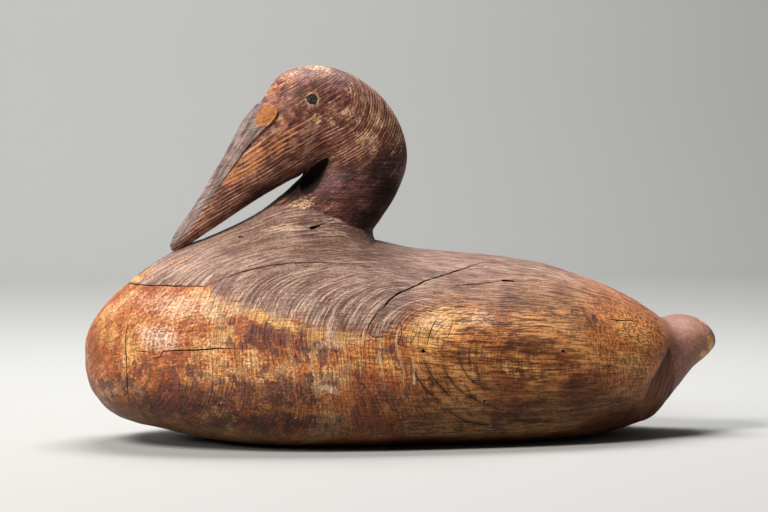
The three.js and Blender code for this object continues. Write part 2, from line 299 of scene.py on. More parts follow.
def hull_heart_distance(points):
    x, inward, z = (points - HULL_HEART).T
    along = np.abs(x + HULL_HEART_BACK * inward) / HULL_OVAL
    up = np.abs(z + HULL_HEART_DOWN * inward)
    rings = (along**HULL_SQUARENESS + up**HULL_SQUARENESS) ** (1 / HULL_SQUARENESS)
    return rings + 5 * drift(points, 70, 1) + 1.5 * drift(points, 22, 2)


def head_heart_distance(points):
    x, _, z = points.T
    dx, dz = x - HEAD_HEART[0], z - HEAD_HEART[1]
    along = np.maximum(dx * HEAD_GRAIN[0] + dz * HEAD_GRAIN[1], 0)
    side = np.hypot(dx - along * HEAD_GRAIN[0], dz - along * HEAD_GRAIN[1])
    rings = np.hypot(side, HEAD_HEART_DEPTH)
    return rings + 2.2 * drift(points, 45, 3) + 0.7 * drift(points, 14, 4)


middle_of_flank = np.array([(0.0, -108.0, 50.0)])
print("the middle of the flank lies on ring number", round(float(hull_heart_distance(middle_of_flank)[0]), 1))

# %% [markdown]
# ## Carving marks and raised grain
#
# A knife leaves shallow hollows, and a century of weather eats the soft wood between the rings, so
# that the hard rings stand up. Both are real relief here, pushed out of the loft before anything is
# cut from it. Only what is finer than the mesh is left to the bump of the material.

# %% Relief of the hull
HULL_RING_GAP = 7.0
HULL_RIDGES = 0.16
KNIFE_HOLLOWS = [  # depth, squeeze along x, y and z, size, layer of the random lattice
    (0.45, (0.6, 1, 1), 34, 5), (0.225, (0.7, 1, 1), 15, 6),
]
STERN_RIDGE = [  # z and x of the worn ridge in front of the tail
    (12, 148), (20, 150), (40, 157), (50, 165), (63, 176.5), (73, 182.5), (82, 183), (92, 181),
]
RIDGE_STANDS, RIDGE_WIDTH = 0.8, 5
VALLEY_SINKS, VALLEY_MIDDLE, VALLEY_WIDTH = 1.6, 11, 7
STERN_FADES = (26, 50)  # below these heights ridge and valley run out
SPINE_ENDS, SPINE_HEIGHT = (-170, 195), 62


def behind_ridge(points):
    """How far a point lies behind the stern's ridge, in millimetres along x."""
    return points[:, 0] - np.interp(points[:, 2], *np.array(STERN_RIDGE, float).T)


def stern_relief(points):
    back = behind_ridge(points)
    ridge = RIDGE_STANDS * bell(back, 0, RIDGE_WIDTH)
    valley = VALLEY_SINKS * bell(back, VALLEY_MIDDLE, VALLEY_WIDTH)
    return (ridge - valley) * smoothstep(points[:, 2], *STERN_FADES)


def hull_relief(points):
    """How far the surface stands out, in millimetres."""
    hollows = 0
    for depth, squeeze, size, layer in KNIFE_HOLLOWS:
        hollows = hollows + depth * drift(points * squeeze, size, layer)
    hollows += stern_relief(points)
    ring = np.cos(2 * math.pi * hull_heart_distance(points) / HULL_RING_GAP)
    strength = 0.5 + 0.5 * drift(points, 40, 7)
    return hollows + HULL_RIDGES * strength * ring


def pushed_hull(rings):
    """The rings with the relief, each point moved straight away from a spine inside the hull."""
    points = rings.reshape(-1, 3)
    none = 0 * points[:, 0]
    spine = np.column_stack((np.clip(points[:, 0], *SPINE_ENDS), none, none + SPINE_HEIGHT))
    away = points - spine
    away /= np.linalg.norm(away, axis=1)[:, None]
    return (points + away * hull_relief(points)[:, None]).reshape(rings.shape)


carved_rings = pushed_hull(hull_rings)
moved = np.linalg.norm(carved_rings - hull_rings, axis=-1)
print("the relief moves points by up to", round(float(moved.max()), 2), "mm")

# %% [markdown]
# ## From rings to a solid
#
# Blender's own lofting tools want curves, and they choose the points themselves. Here the points are
# known, so the mesh is written directly: a four-sided face between each two neighbours of two rings,
# and a fan of triangles to one point at each end. It is closed, so it can be cut like real wood. Its
# volume tells which way its faces look.

# %% A closed mesh from rings of points
def loft(name, rings, first, last):
    """A closed mesh object from rings in millimetres, with a point at each end."""
    count, size = rings.shape[:2]
    points = np.concatenate(([first], rings.reshape(-1, 3), [last])) * MM
    k = np.arange(size)
    after = (k + 1) % size
    quads = []
    for r in range(count - 1):
        here, there = 1 + r * size, 1 + (r + 1) * size
        quads += np.column_stack((here + k, there + k, there + after, here + after)).tolist()
    end = 1 + (count - 1) * size
    caps = np.column_stack((0 * k, 1 + k, 1 + after)).tolist()
    caps += np.column_stack((end + after, end + k, 0 * k + len(points) - 1)).tolist()
    mesh = bpy.data.meshes.new(name)
    mesh.from_pydata(points.tolist(), [], quads + caps)
    mesh.update()
    piece = bpy.data.objects.new(name, mesh)
    bpy.context.scene.collection.objects.link(piece)
    return piece


def volume(piece):
    """Volume in cubic metres; it is negative when the faces look inwards."""
    piece.data.calc_loop_triangles()
    corners = np.empty(len(piece.data.loop_triangles) * 3, int)
    piece.data.loop_triangles.foreach_get("vertices", corners)
    places = np.empty(len(piece.data.vertices) * 3)
    piece.data.vertices.foreach_get("co", places)
    a, b, c = places.reshape(-1, 3)[corners.reshape(-1, 3)].transpose(1, 0, 2)
    return float(np.einsum("ij,ij->i", a, np.cross(b, c)).sum() / 6)


def face_outwards(piece):
    if volume(piece) < 0:
        piece.data.flip_normals()
    return piece


tip_height = float(back_line(-LENGTH / 2))
ends = (-LENGTH / 2, 0, tip_height), (LENGTH / 2, 0, tip_height)
whole_hull = face_outwards(loft("whole_hull", carved_rings, *ends))
litres = round(volume(whole_hull) * 1000, 2)
print("the whole hull:", len(whole_hull.data.polygons), "faces,", litres, "litres")

# %% [markdown]
# ## Head, bill and neck
#
# The neck bends back on itself, so level sections would not do. Instead ribs are set square to the
# bend, like the ribs of a fish, from the tip of the bill over the crown and down the nape. Each rib
# has an outer end, an inner end and a half width. Below the last rib the neck flares out and runs
# into the back of the bird, along curves that leave the neck straight and arrive flat.

# %% The ribs of the head
RIBS = [  # outer x and z, inner x and z, half width
    (-170.3, 138.2, -167.0, 133.4, 3.5), (-167.3, 144.6, -160.5, 136.8, 8.5),
    (-161.0, 154.4, -149.5, 143.8, 12.0), (-151.0, 168.5, -133.5, 154.3, 15.0),
    (-141.5, 182.8, -117.0, 164.9, 17.0), (-128.3, 203.9, -99.5, 175.8, 20.0),
    (-116.5, 225.1, -86.5, 183.2, 24.5), (-102.8, 242.4, -79.5, 186.6, 28.5),
    (-93.8, 256.0, -77.2, 188.2, 31.0), (-81.0, 263.0, -76.2, 189.0, 32.3),
    (-61.0, 265.0, -75.5, 189.3, 33.0), (-36.5, 257.0, -75.0, 189.2, 33.5),
    (-14.5, 238.2, -74.8, 188.8, 33.0), (-2.6, 214.5, -75.0, 187.9, 31.5),
    (-1.2, 194.0, -76.0, 186.2, 30.0), (-8.6, 174.0, -79.5, 183.0, 29.5),
    (-18.8, 157.8, -85.2, 177.6, 30.5), (-24.8, 149.5, -93.5, 170.8, 32.5),
]
BILL_TIP = (-169.9, 0, 135.2)
RIB_ROUNDNESS = 2.25
RIB_WIDEST = 0.52
HEAD_RINGS = 250
HEAD_SIDES = 210

rib_curves = [
    smooth_curve([(i / (len(RIBS) - 1), rib[column]) for i, rib in enumerate(RIBS)])
    for column in range(5)
]


def signed_power(value, power):
    return np.sign(value) * np.abs(value) ** power


def head_points(t, angle, grown=0.0):
    """Points on the rib at share t; the angle is 0 at the rib's outer end."""
    outer_x, outer_z, inner_x, inner_z, half = (curve(t) for curve in rib_curves)
    length = np.hypot(outer_x - inner_x, outer_z - inner_z)
    way_x, way_z = (outer_x - inner_x) / length, (outer_z - inner_z) / length
    share = np.where(np.cos(angle) > 0, 1 - RIB_WIDEST, RIB_WIDEST)
    power = 2 / RIB_ROUNDNESS
    out = length * RIB_WIDEST + (share * length + grown) * signed_power(np.cos(angle), power)
    y = -(half + grown) * signed_power(np.sin(angle), power)
    return np.stack(np.broadcast_arrays(inner_x + way_x * out, y, inner_z + way_z * out), axis=-1)


def head_places():
    """Shares t at equal steps along the outside of the head."""
    t = np.linspace(0, 1, 1001)
    walked = np.hypot(np.diff(rib_curves[0](t)), np.diff(rib_curves[1](t)))
    walked = np.concatenate(([0], np.cumsum(walked)))
    return np.interp(np.linspace(0, walked[-1], HEAD_RINGS), walked, t)


side_angle = 2 * math.pi * np.arange(HEAD_SIDES) / HEAD_SIDES
head_rings = head_points(head_places()[:, None], side_angle[None, :])
print("the head's rings:", head_rings.shape)

# %% [markdown]
# ## The crease between bill and throat
#
# Where the base of the bill meets the throat, the carver cut a crease. In the middle plane it is the
# place where the inner ends of the ribs come together. On the sides it lies further back and higher.
# More ribs would not give that, so the finished rings are bent a little around this place: not at
# all in the middle plane, and more towards the sides.

# %% The crease
CREASE_PIVOT = (-75, 188.5)  # where bill and throat meet in the middle plane
CREASE_SHIFT = (14, 8)  # how far that place lies further back and up on the sides
CREASE_REACH = 20
CREASE_DEPTH = (6, 24)  # distance from the middle plane over which the shift grows


def creased(points):
    """Bend the sides of the head, so that the crease between bill and throat runs back and up."""
    x, y, z = np.moveaxis(points, -1, 0)
    from_pivot = np.hypot(x - CREASE_PIVOT[0], z - CREASE_PIVOT[1])
    share = bell(from_pivot, 0, CREASE_REACH) * smoothstep(np.abs(y), *CREASE_DEPTH)
    return np.stack((x + CREASE_SHIFT[0] * share, y, z + CREASE_SHIFT[1] * share), axis=-1)


bend = np.linalg.norm(creased(head_rings) - head_rings, axis=-1)
print("the crease moves points by up to", round(float(bend.max()), 1), "mm")

# %% [markdown]
# ## The flare at the foot of the neck
#
# On the real bird the neck runs out into the shoulders without an edge. A rounded edge between two
# solids would need a fillet of changing width. Instead each point of the last rib gets a curve of its
# own, which leaves in the direction of the neck and arrives in that of the back.

# %% The flare at the foot of the neck
FLARE_MIDDLE = -60
FLARE_FRONT = 98
FLARE_BACK = 37
FLARE_HALF_WIDTH = 56
FLARE_SUNK = 0.8  # how far its edge lies below the surface of the back
FLARE_ROOT = 12  # under its edge a last ring lies this deep, and the closing point twice as deep
FLARE_ROOT_TAPER = 0.1  # the last ring is drawn in by this share
FLARE_PULL = 0.34  # how far the curve follows the neck and the back, as a share of its length
FLARE_RINGS = 56
JUST_BEFORE = 0.97  # a share of the way along the ribs; from here to the end is the neck's direction


def unit(vectors):
    return vectors / np.linalg.norm(vectors, axis=-1, keepdims=True)


def flare_rings(angle):
    """Rings from the last rib of the neck, out to where the flare meets the back."""
    start = head_points(1.0, angle)
    wall = unit(start - head_points(JUST_BEFORE, angle))
    reach = np.where(np.cos(angle) > 0, FLARE_BACK, FLARE_FRONT)
    x = FLARE_MIDDLE + reach * np.cos(angle)
    y = -FLARE_HALF_WIDTH * np.sin(angle)
    foot = np.stack((x, y, back_height(x, y)), axis=-1)
    inward = unit((start - foot) * (1, 1, 0))
    step = foot + inward
    inward[:, 2] = back_height(step[:, 0], step[:, 1]) - foot[:, 2]
    inward = unit(inward)
    foot[:, 2] -= FLARE_SUNK
    pull = FLARE_PULL * np.linalg.norm(start - foot, axis=1)[:, None]
    t = (np.arange(1, FLARE_RINGS + 1) / FLARE_RINGS)[:, None, None]
    return (
        (1 - t) ** 3 * start
        + 3 * (1 - t) ** 2 * t * (start + wall * pull)
        + 3 * (1 - t) * t**2 * (foot + inward * pull)
        + t**3 * foot
    )


# %% [markdown]
# ## Relief of the head
#
# The head's wood has finer rings, and they stand up more. They are strong on cheek and nape, and
# fade out round the heart of the tree and on the forehead, where hands wore them down, and on the
# throat, where thick paint fills them.

# %% Relief of the head
HEAD_RING_GAP = 2.0
HEAD_RIDGES = 0.22
HEAD_HOLLOWS = 0.4
PLAIN_HEART = (13, 28)  # around the heart the rings fade out, between these two distances
PLAIN_CROWN = (3, 16)  # and above the line of the grain, between these
THROAT_TOP, THROAT_SLOPE = 198, 0.35  # height of the throat's upper end at the neck's middle
THROAT_FADE = (-8, 14)
THROAT_FRONT = (-98, -84)


def lined_share(points):
    """1 where the head's rings show, 0 round their heart and on the forehead."""
    dx, dz = points[:, 0] - HEAD_HEART[0], points[:, 2] - HEAD_HEART[1]
    above = dx * HEAD_GRAIN[1] - dz * HEAD_GRAIN[0]
    crown = 1 - 0.8 * smoothstep(above, *PLAIN_CROWN)
    return smoothstep(np.hypot(dx, dz), *PLAIN_HEART) * crown


def throat_share(points):
    """1 on the throat and neck, where the wood is smooth under its paint, and 0 on face and bill."""
    x, _, z = points.T
    below = smoothstep(THROAT_TOP - z + THROAT_SLOPE * (x - FLARE_MIDDLE), *THROAT_FADE)
    return below * smoothstep(x, *THROAT_FRONT)


def head_relief(points):
    ring = 0.5 + 0.5 * np.cos(2 * math.pi * head_heart_distance(points) / HEAD_RING_GAP)
    strength = 0.62 + 0.5 * drift(points, 18, 8)
    strength *= (1 - 0.85 * throat_share(points)) * lined_share(points)
    hollows = HEAD_HOLLOWS * drift(points, 26, 9) + 0.4 * HEAD_HOLLOWS * drift(points, 11, 10)
    return hollows + HEAD_RIDGES * strength * ring**1.5


def pushed(rings, relief):
    """The rings with a relief, each point moved away from the middle of its ring."""
    away = unit(rings - rings.mean(axis=1, keepdims=True))
    height = relief(rings.reshape(-1, 3)).reshape(rings.shape[:2] + (1,))
    return rings + away * height


all_rings = creased(np.concatenate((head_rings, flare_rings(side_angle))))
root_middle = np.array((FLARE_MIDDLE, 0, float(back_line(FLARE_MIDDLE))))
root_down = np.array((0, 0, -FLARE_ROOT))
root = all_rings[-1] + FLARE_ROOT_TAPER * (root_middle - all_rings[-1]) + root_down
all_rings = np.concatenate((pushed(all_rings, head_relief), root[None]))
head = face_outwards(loft("head", all_rings, BILL_TIP, root_middle + 2 * root_down))
print("the head:", len(head.data.polygons), "faces,", round(volume(head) * 1000, 3), "litres")

# %% [markdown]
# ## Cutting and joining
#
# Carving is taking away, and a Boolean modifier does just that: it takes one solid from another,
# joins two, or keeps what they share. The exact solver is slow on meshes this dense; the manifold
# one is fast, and asks only that every solid is closed. Each result is settled at once, so that the
# next cut starts from plain mesh.

# %% Cutting and joining
def settle(piece):
    """Replace the mesh by what its modifiers make of it."""
    depsgraph = bpy.context.evaluated_depsgraph_get()
    made = bpy.data.meshes.new_from_object(piece.evaluated_get(depsgraph))
    piece.modifiers.clear()
    piece.data = made


def combine(piece, other, how):
    step = piece.modifiers.new(how, "BOOLEAN")
    step.operation = how
    step.solver = "MANIFOLD"
    step.object = other
    settle(piece)


def scrap(*pieces):
    for piece in pieces:
        bpy.data.objects.remove(piece)


def prism(name, outline, low, high):
    """A solid with an outline in x and z, from low to high along y, all in millimetres."""
    count = len(outline)
    near = [(x * MM, low * MM, z * MM) for x, z in outline]
    far = [(x * MM, high * MM, z * MM) for x, z in outline]
    sides = [(i, (i + 1) % count, (i + 1) % count + count, i + count) for i in range(count)]
    mesh = bpy.data.meshes.new(name)
    mesh.from_pydata(near + far, [], [tuple(range(count))[::-1], tuple(range(count, 2 * count))] + sides)
    piece = bpy.data.objects.new(name, mesh)
    bpy.context.scene.collection.objects.link(piece)
    return face_outwards(piece)


# %% [markdown]
# ## Lines drawn in the side view
#
# The edge of the bill's plate, the cracks and the opened rings are all lines that one sees from the
# side. Each is given by a few measured points. A spline passes through all of them, which a smoother
# kind of curve would not. The second helper tells how far a point lies from such a line.

# %% A line in the side view
def spline(rows, steps):
    """A curve that passes through all the rows, in so many steps."""
    rows = np.array(rows, float)
    padded = np.concatenate((rows[:1], rows, rows[-1:]))
    place = np.linspace(0, len(rows) - 1, steps + 1)
    i = np.minimum(place.astype(int), len(rows) - 2)
    t = (place - i)[:, None]
    a, b, c, d = (padded[i + k] for k in range(4))
    slope_b, slope_c = (c - a) / 2, (d - b) / 2
    return (
        (2 * t**3 - 3 * t**2 + 1) * b
        + (t**3 - 2 * t**2 + t) * slope_b
        + (3 * t**2 - 2 * t**3) * c
        + (t**3 - t**2) * slope_c
    )


def distance_to(rows, x, z):
    """Distance in the side view from points to a line of close rows."""
    nearest = np.full(np.shape(x), np.inf)
    for (ax, az), (bx, bz) in zip(rows[:-1], rows[1:]):
        length = (bx - ax) ** 2 + (bz - az) ** 2
        t = np.clip(((x - ax) * (bx - ax) + (z - az) * (bz - az)) / length, 0, 1)
        nearest = np.minimum(nearest, np.hypot(x - ax - t * (bx - ax), z - az - t * (bz - az)))
    return nearest


# %% [markdown]
# ## The raised plate of the bill
#
# A real eider has a plate on its bill that runs up the forehead in two lobes. The carver left it
# standing about two millimetres proud. The plate is a slightly larger head, kept only in front of a
# curved curtain; its rim is lowered a little first, as a worn edge is never sharp.

# %% The plate
PLATE_RISE = 1.7
KNOB_RISE = 1.2  # the rounded ends of the lobes stand higher
LOBE_SPACING = 0.35
PLATE_REACH = 0.6
PLATE_RIM = 3.4  # the width of the worn rim
PLATE_STEPS = 60  # along its edge
PLATE_START = 1 / 44  # as shares of the way from the tip of the bill: where the plate starts,
FULL_HEIGHT = (0.08, 0.34)  # where it grows to its full height,
LOBES_PART = (0.28, 0.4)  # where its two lobes part,
KNOBS_RISE = (0.27, 0.38)  # and where their rounded ends rise
PLATE_RELIEF, PLATE_LIFT = 0.45, 0.1
PLATE_EDGE = [
    (-166, 138), (-151, 160), (-138.4, 179.2), (-127.8, 193.8), (-118.4, 207.7), (-109, 218.2),
    (-102, 225), (-98.2, 231.2), (-99.4, 235.8), (-104, 238.2), (-110.5, 239.4), (-118, 241.5),
]


def plate_rise(t, angle):
    from_tip = smoothstep(t, *FULL_HEIGHT)
    between = smoothstep(t, *LOBES_PART) * bell(np.sin(angle), 0, LOBE_SPACING)
    rise = PLATE_RISE * (1.3 * from_tip - 0.3) * (1 - 0.8 * between)
    return rise + KNOB_RISE * smoothstep(t, *KNOBS_RISE) * (1 - between)


def plate_relief(points):
    return PLATE_RELIEF * head_relief(points) + PLATE_LIFT


plate_edge = spline(PLATE_EDGE, PLATE_STEPS)
t = head_places()
t = t[(t > PLATE_START) & (t < PLATE_REACH)][:, None]
bare_plate = head_points(t, side_angle[None, :])
rim = distance_to(plate_edge, bare_plate[..., 0], bare_plate[..., 2])
rise = plate_rise(t, side_angle[None, :]) * (0.5 + 0.5 * smoothstep(rim, 0, PLATE_RIM) ** 0.7)
plate_rings = pushed(head_points(t, side_angle[None, :], rise), plate_relief)
ends = plate_rings[0].mean(axis=0), plate_rings[-1].mean(axis=0)
plate = face_outwards(loft("plate", plate_rings, *ends))
front = -LENGTH / 2
outline = plate_edge.tolist() + [(front, PLATE_EDGE[-1][1]), (front, PLATE_EDGE[0][1])]
curtain = prism("curtain", outline, -LENGTH / 2, LENGTH / 2)
combine(plate, curtain, "INTERSECT")
combine(head, plate, "UNION")
print("head with its plate:", len(head.data.vertices), "points")

# %% [markdown]
# ## Two blocks and their seam
#
# The foot of the neck is a slab let into a notch of the hull. To make both from one surface, we cut
# the same hull twice: once with the notch taken out, once with only what lies in the notch. The
# slab joins the head. A hair's breadth stays open between them.

# %% Body and head with its slab
SEAT_FLOOR = 112
SEAT_HALF_WIDTH = 62
SEAT_BACK = -16
HAIR_GAP = 0.08


def box(name, low, high):
    corners = [(low[0], low[2]), (high[0], low[2]), (high[0], high[2]), (low[0], high[2])]
    return prism(name, corners, low[1], high[1])


def notch(gap):
    low = (-LENGTH, -SEAT_HALF_WIDTH - gap, SEAT_FLOOR - gap)
    high = (SEAT_BACK + gap, SEAT_HALF_WIDTH + gap, 2 * SEAT_FLOOR)
    return box("notch", low, high)


def same_again(piece):
    twin = piece.copy()
    twin.data = piece.data.copy()
    bpy.context.scene.collection.objects.link(twin)
    return twin


ground = box("ground", (-LENGTH, -LENGTH, -LENGTH), (LENGTH, LENGTH, 0))
combine(whole_hull, ground, "DIFFERENCE")
body, slab = same_again(whole_hull), same_again(whole_hull)
wide_notch, close_notch = notch(HAIR_GAP), notch(0)
combine(body, wide_notch, "DIFFERENCE")
combine(slab, close_notch, "INTERSECT")
hull_skin = BVHTree.FromObject(whole_hull, bpy.context.evaluated_depsgraph_get())
head_skin = BVHTree.FromObject(head, bpy.context.evaluated_depsgraph_get())
combine(head, slab, "UNION")
body.name, head.name = "carved_body", "carved_head_and_neck"
scrap(ground, wide_notch, close_notch, slab, curtain, plate, whole_hull)
print("body:", len(body.data.vertices), "points; head and slab:", len(head.data.vertices), "points")

# %% [markdown]
# ## A blade for checks and cracks
#
# Old pine opens along its rings. Each crack is cut with a blade: a long thin wedge that follows the
# surface along a few measured points, widest in the middle and running out to nothing at its ends.
# A dark painted line would look the same from the front, but it would not catch the light.

# %% A blade that follows the surface
BLADE_LIFT = 0.8
STEP = 1.2  # millimetres between two sections of a blade
WOBBLE = 0.35
SWELL = 5  # a blade grows to its full width over a fifth of its length, at each end,
SHARPEST = 0.12  # from this share of it at the very tip


def along_surface(points, skin):
    """Points closely spaced on the skin, with the skin's normals."""
    points = np.array(points, float)
    length = np.linalg.norm(np.diff(points, axis=0), axis=1).sum()
    fine = spline(points, max(int(length / STEP), 4))
    ends = np.sin(np.linspace(0, math.pi, len(fine)))[:, None] ** 0.5
    shake = np.column_stack([drift(fine, 5, layer) for layer in (21, 22, 23)])
    fine = fine + WOBBLE * ends * shake
    hits = [skin.find_nearest(Vector(point * MM))[:2] for point in fine]
    places = np.array([place[:] for place, _ in hits]) / MM
    return places, unit(np.array([normal[:] for _, normal in hits]))


def blade(points, width, depth, skin):
    """A wedge along the points, in millimetres."""
    places, normals = along_surface(points, skin)
    ahead = unit(np.gradient(places, axis=0))
    across = unit(np.cross(normals, ahead))
    s = np.linspace(0, 1, len(places))
    swell = np.clip(np.minimum(s, 1 - s) * SWELL, SHARPEST, 1) ** 0.7
    wide = width * swell * (1 + 0.35 * drift(places, 4, 24))
    deep = (depth * swell)[:, None]
    mouth = (wide / 2)[:, None] * (1 + BLADE_LIFT / deep)
    left = places + normals * BLADE_LIFT - across * mouth
    right = places + normals * BLADE_LIFT + across * mouth
    keel = places - normals * deep
    rings = np.stack((left, keel, right), axis=1)
    return face_outwards(loft("blade", rings, rings[0].mean(axis=0), rings[-1].mean(axis=0)))


def crack(pieces, points, width, depth, skin):
    tool = blade(points, width, depth, skin)
    for piece in pieces:
        combine(piece, tool, "DIFFERENCE")
    scrap(tool)


# %% [markdown]
# ## The cracks, one by one
#
# The long check starts on the back and comes down behind the shoulder. It is cut as three blades,
# each narrower than the last. Most others are short, and only a hair wide. Low on the flank the
# knife ran along the growth rings, and a few of them opened as shallow curved lines. They could be
# left to the bump of the material, but a real cut keeps its shadow when the light moves.

# %% Cracks of the body
BIG_CHECK = [
    (66, -30, 125), (46.6, -35.6, 124.8), (27.3, -49.9, 120.9), (14.5, -57.7, 118.1),
    (-0.2, -66.2, 114.5), (-9, -72.9, 111.4), (-17.6, -77.8, 108.6), (-25.9, -82.4, 105.3),
    (-32.2, -87.1, 101.1), (-35.6, -89.7, 97.9), (-41.1, -92.8, 94.0), (-43.7, -95.3, 90.8),
    (-47.6, -97.6, 86.2), (-49.4, -99.5, 82.3), (-46.3, -101.2, 79.0), (-41.5, -101.6, 78.3),
    (-33.8, -100.9, 79.5), (-26.7, -100.3, 80.0),
]
BODY_CRACKS = [  # width, depth, points
    (1.35, 5.0, BIG_CHECK[:11]),
    (0.9, 3.0, BIG_CHECK[10:14]),
    (0.7, 2.0, BIG_CHECK[13:]),
    (0.45, 1.2, [(-46.3, -101.2, 79.0), (-48.7, -102.6, 75.7), (-53.5, -102.9, 74.5)]),
    (0.8, 2.5, [
        (-204.2, -43.8, 89.8), (-206.9, -49.7, 78.6), (-207.5, -54.6, 65.3), (-206.2, -54.3, 48.2),
        (-203.3, -45.9, 30.3),
    ]),
    (0.6, 2.0, [(-201.9, -59.4, 68.2), (-192.6, -67.3, 68.0)]),
    (0.9, 2.5, [
        (-191.5, -69.1, 64.0), (-186.5, -72.4, 64.9), (-184.4, -72.6, 68.2), (-180, -74.9, 69.0),
        (-170.4, -79.3, 69.8), (-160.8, -83.3, 70.0), (-146.5, -88.1, 71.1), (-131.6, -92.7, 71.5),
    ]),
    (0.35, 0.8, [(-195.2, -60.2, 80.4), (-179.4, -70.3, 81.9), (-160.1, -79.0, 82.5)]),
    (1.1, 2.5, [
        (53.8, -59.3, 113.5), (45.1, -62.5, 112.3), (30.6, -65.8, 111.5), (17, -68.8, 110.7),
    ]),
    (1.1, 2.0, [(128.1, -68.6, 86.7), (139.9, -64.2, 85.0), (154.9, -55.8, 84.0)]),
    (0.75, 1.6, [(-25.8, -96, 87.9), (-25.6, -100, 80.0), (-28.8, -103.5, 72.8)]),
    (0.6, 1.3, [(-12.5, -94, 88.5), (-15.8, -99, 79.5), (-20.5, -102, 72.5)]),
    (0.7, 1.5, [(2.0, -91, 91), (-2.6, -95, 85), (-5.5, -97.5, 80), (-9.3, -102, 70)]),
    (0.6, 1.3, [(11.5, -91, 90.5), (9.8, -96, 83), (5.6, -99.5, 76)]),
    (0.5, 1.1, [(24, -96, 81), (26.6, -101, 71), (24, -104, 62)]),
]
OPENED_RINGS = [  # the curved lines low on the flank, a few millimetres apart
    (0.7, 0.8, [(-21.3, -106.9, 61.4), (-15.8, -107.8, 50.1), (-8.8, -107.5, 41.1), (-1, -106.9, 34.0)]),
    (0.6, 0.7, [(3.9, -106.3, 29.7), (12, -104.6, 23.8), (21.6, -102.6, 19.5), (34, -101, 17.0)]),
    (0.8, 0.9, [(-11.4, -106.3, 62.6), (-7.0, -107.2, 53.0), (-1.0, -107.5, 45.3), (8.1, -106.9, 36.0)]),
    (0.7, 0.8, [
        (1.4, -105.5, 60.0), (5.1, -106.6, 51.6), (13.3, -106.3, 41.8), (27.3, -105.3, 33.6),
        (40, -104, 29),
    ]),
    (0.6, 0.7, [(13.9, -104.3, 63.4), (16.2, -105.7, 55.0), (24.5, -106.1, 46.4), (36.3, -104.6, 40.8)]),
]
for width, depth, points in BODY_CRACKS + OPENED_RINGS:
    crack([body], points, width, depth, hull_skin)
print("cracks cut:", len(BODY_CRACKS + OPENED_RINGS))
print("the body now has", len(body.data.vertices), "points")

# %% [markdown]
# ## The seam opens
#
# The two blocks dried and drew apart by a hair. The gap between them is there already, but thinner
# than a line of paint. So the same blade runs along the seam, widest on the breast, where the end
# grain of the two blocks meets. The line itself is found by halving: for each y, where does the back
# rise through the notch's floor?

# %% Cracks of the neck's foot, and the seam
HEAD_CRACKS = [
    (2.2, 5.0, [(-78, -37.2, 150.2), (-74, -37.0, 151.0), (-69.1, -36.1, 152.9)]),
    (0.7, 2.5, [(-70, -36.1, 152.5), (-64, -34.5, 154.5), (-58.6, -33.3, 157.1)]),
]
SEAM_POINTS = 40
HALVINGS = 40
SEAM_DEPTH = 2.2
SEAM_FRONT, SEAM_TURN, SEAM_SIDE = 1.3, 1.0, 0.95  # how wide: on the breast, where it turns, beside
for width, depth, points in HEAD_CRACKS:
    crack([head], points, width, depth, head_skin)


def seam_line(side):
    """The seam on one side: round the breast on the notch's floor, then back along its wall."""
    low, high = np.full(SEAM_POINTS, -229.0), np.full(SEAM_POINTS, -100.0)
    y = np.linspace(2, SEAT_HALF_WIDTH, SEAM_POINTS)
    for _ in range(HALVINGS):
        middle = (low + high) / 2
        under = back_height(middle, y) < SEAT_FLOOR
        low, high = np.where(under, middle, low), np.where(under, high, middle)
    floor = np.column_stack((low, side * y, np.full(SEAM_POINTS, SEAT_FLOOR)))
    x = np.linspace(low[-1] + 1, SEAT_BACK - 20, SEAM_POINTS)
    wall = np.column_stack((x, 0 * x + side * SEAT_HALF_WIDTH, back_height(x, SEAT_HALF_WIDTH)))
    return floor, wall


for side in (-1, 1):
    floor, wall = seam_line(side)
    for line, width in (floor[::3], SEAM_FRONT), (floor[-7:], SEAM_TURN), (wall[::3], SEAM_SIDE):
        crack([body, head], line, width, SEAM_DEPTH, hull_skin)
print("the seam is open; the head now has", len(head.data.vertices), "points")

# %% [markdown]
# ## Pits, and the hollows of the throat
#
# A few small holes show where knots fell out or shot went in. Each is cut with a rough lens that
# sits on the surface. The same ball of rings, stretched and leaned over, cuts the deep hollow on each
# side where the base of the bill meets the throat. There the carver turned the knife, and the hollow
# narrows forwards.

# %% Pits, and the hollows of the throat
PITS = [  # middle, size along x, across, depth
    ((59.1, -58.4, 113.4), (4.4, 1.6, 3.0)),
    ((62.5, -57.6, 112.2), (2.0, 1.3, 2.0)),
    ((-11.7, -104.3, 68.6), (1.9, 1.3, 1.8)),
    ((89.7, -93.8, 66.3), (1.5, 1.1, 1.2)),
    ((31.4, -105.1, 33.9), (1.6, 1.0, 1.1)),
    ((-124.1, -27.2, 144.4), (2.0, 1.3, 2.0)),
]
PIT_ROUGHNESS = 0.5
ON_THE_SLAB = 140  # pits above this height are in the head's block
THROAT_POCKETS = [((-70.5, side * 30, 187.5), (17.5, 6.5, 26)) for side in (-1, 1)]
POCKET_TURN = math.radians(50)
POCKET_TAPER = 0.35


def ball(sides, rows):
    """Rings of a ball with radius 1, its axis along z."""
    angle = np.linspace(0, 2 * math.pi, sides, endpoint=False)
    return np.stack([
        np.stack((np.sin(a) * np.cos(angle), np.sin(a) * np.sin(angle), np.cos(a) + 0 * angle), axis=1)
        for a in np.linspace(0, math.pi, rows)[1:-1]
    ])


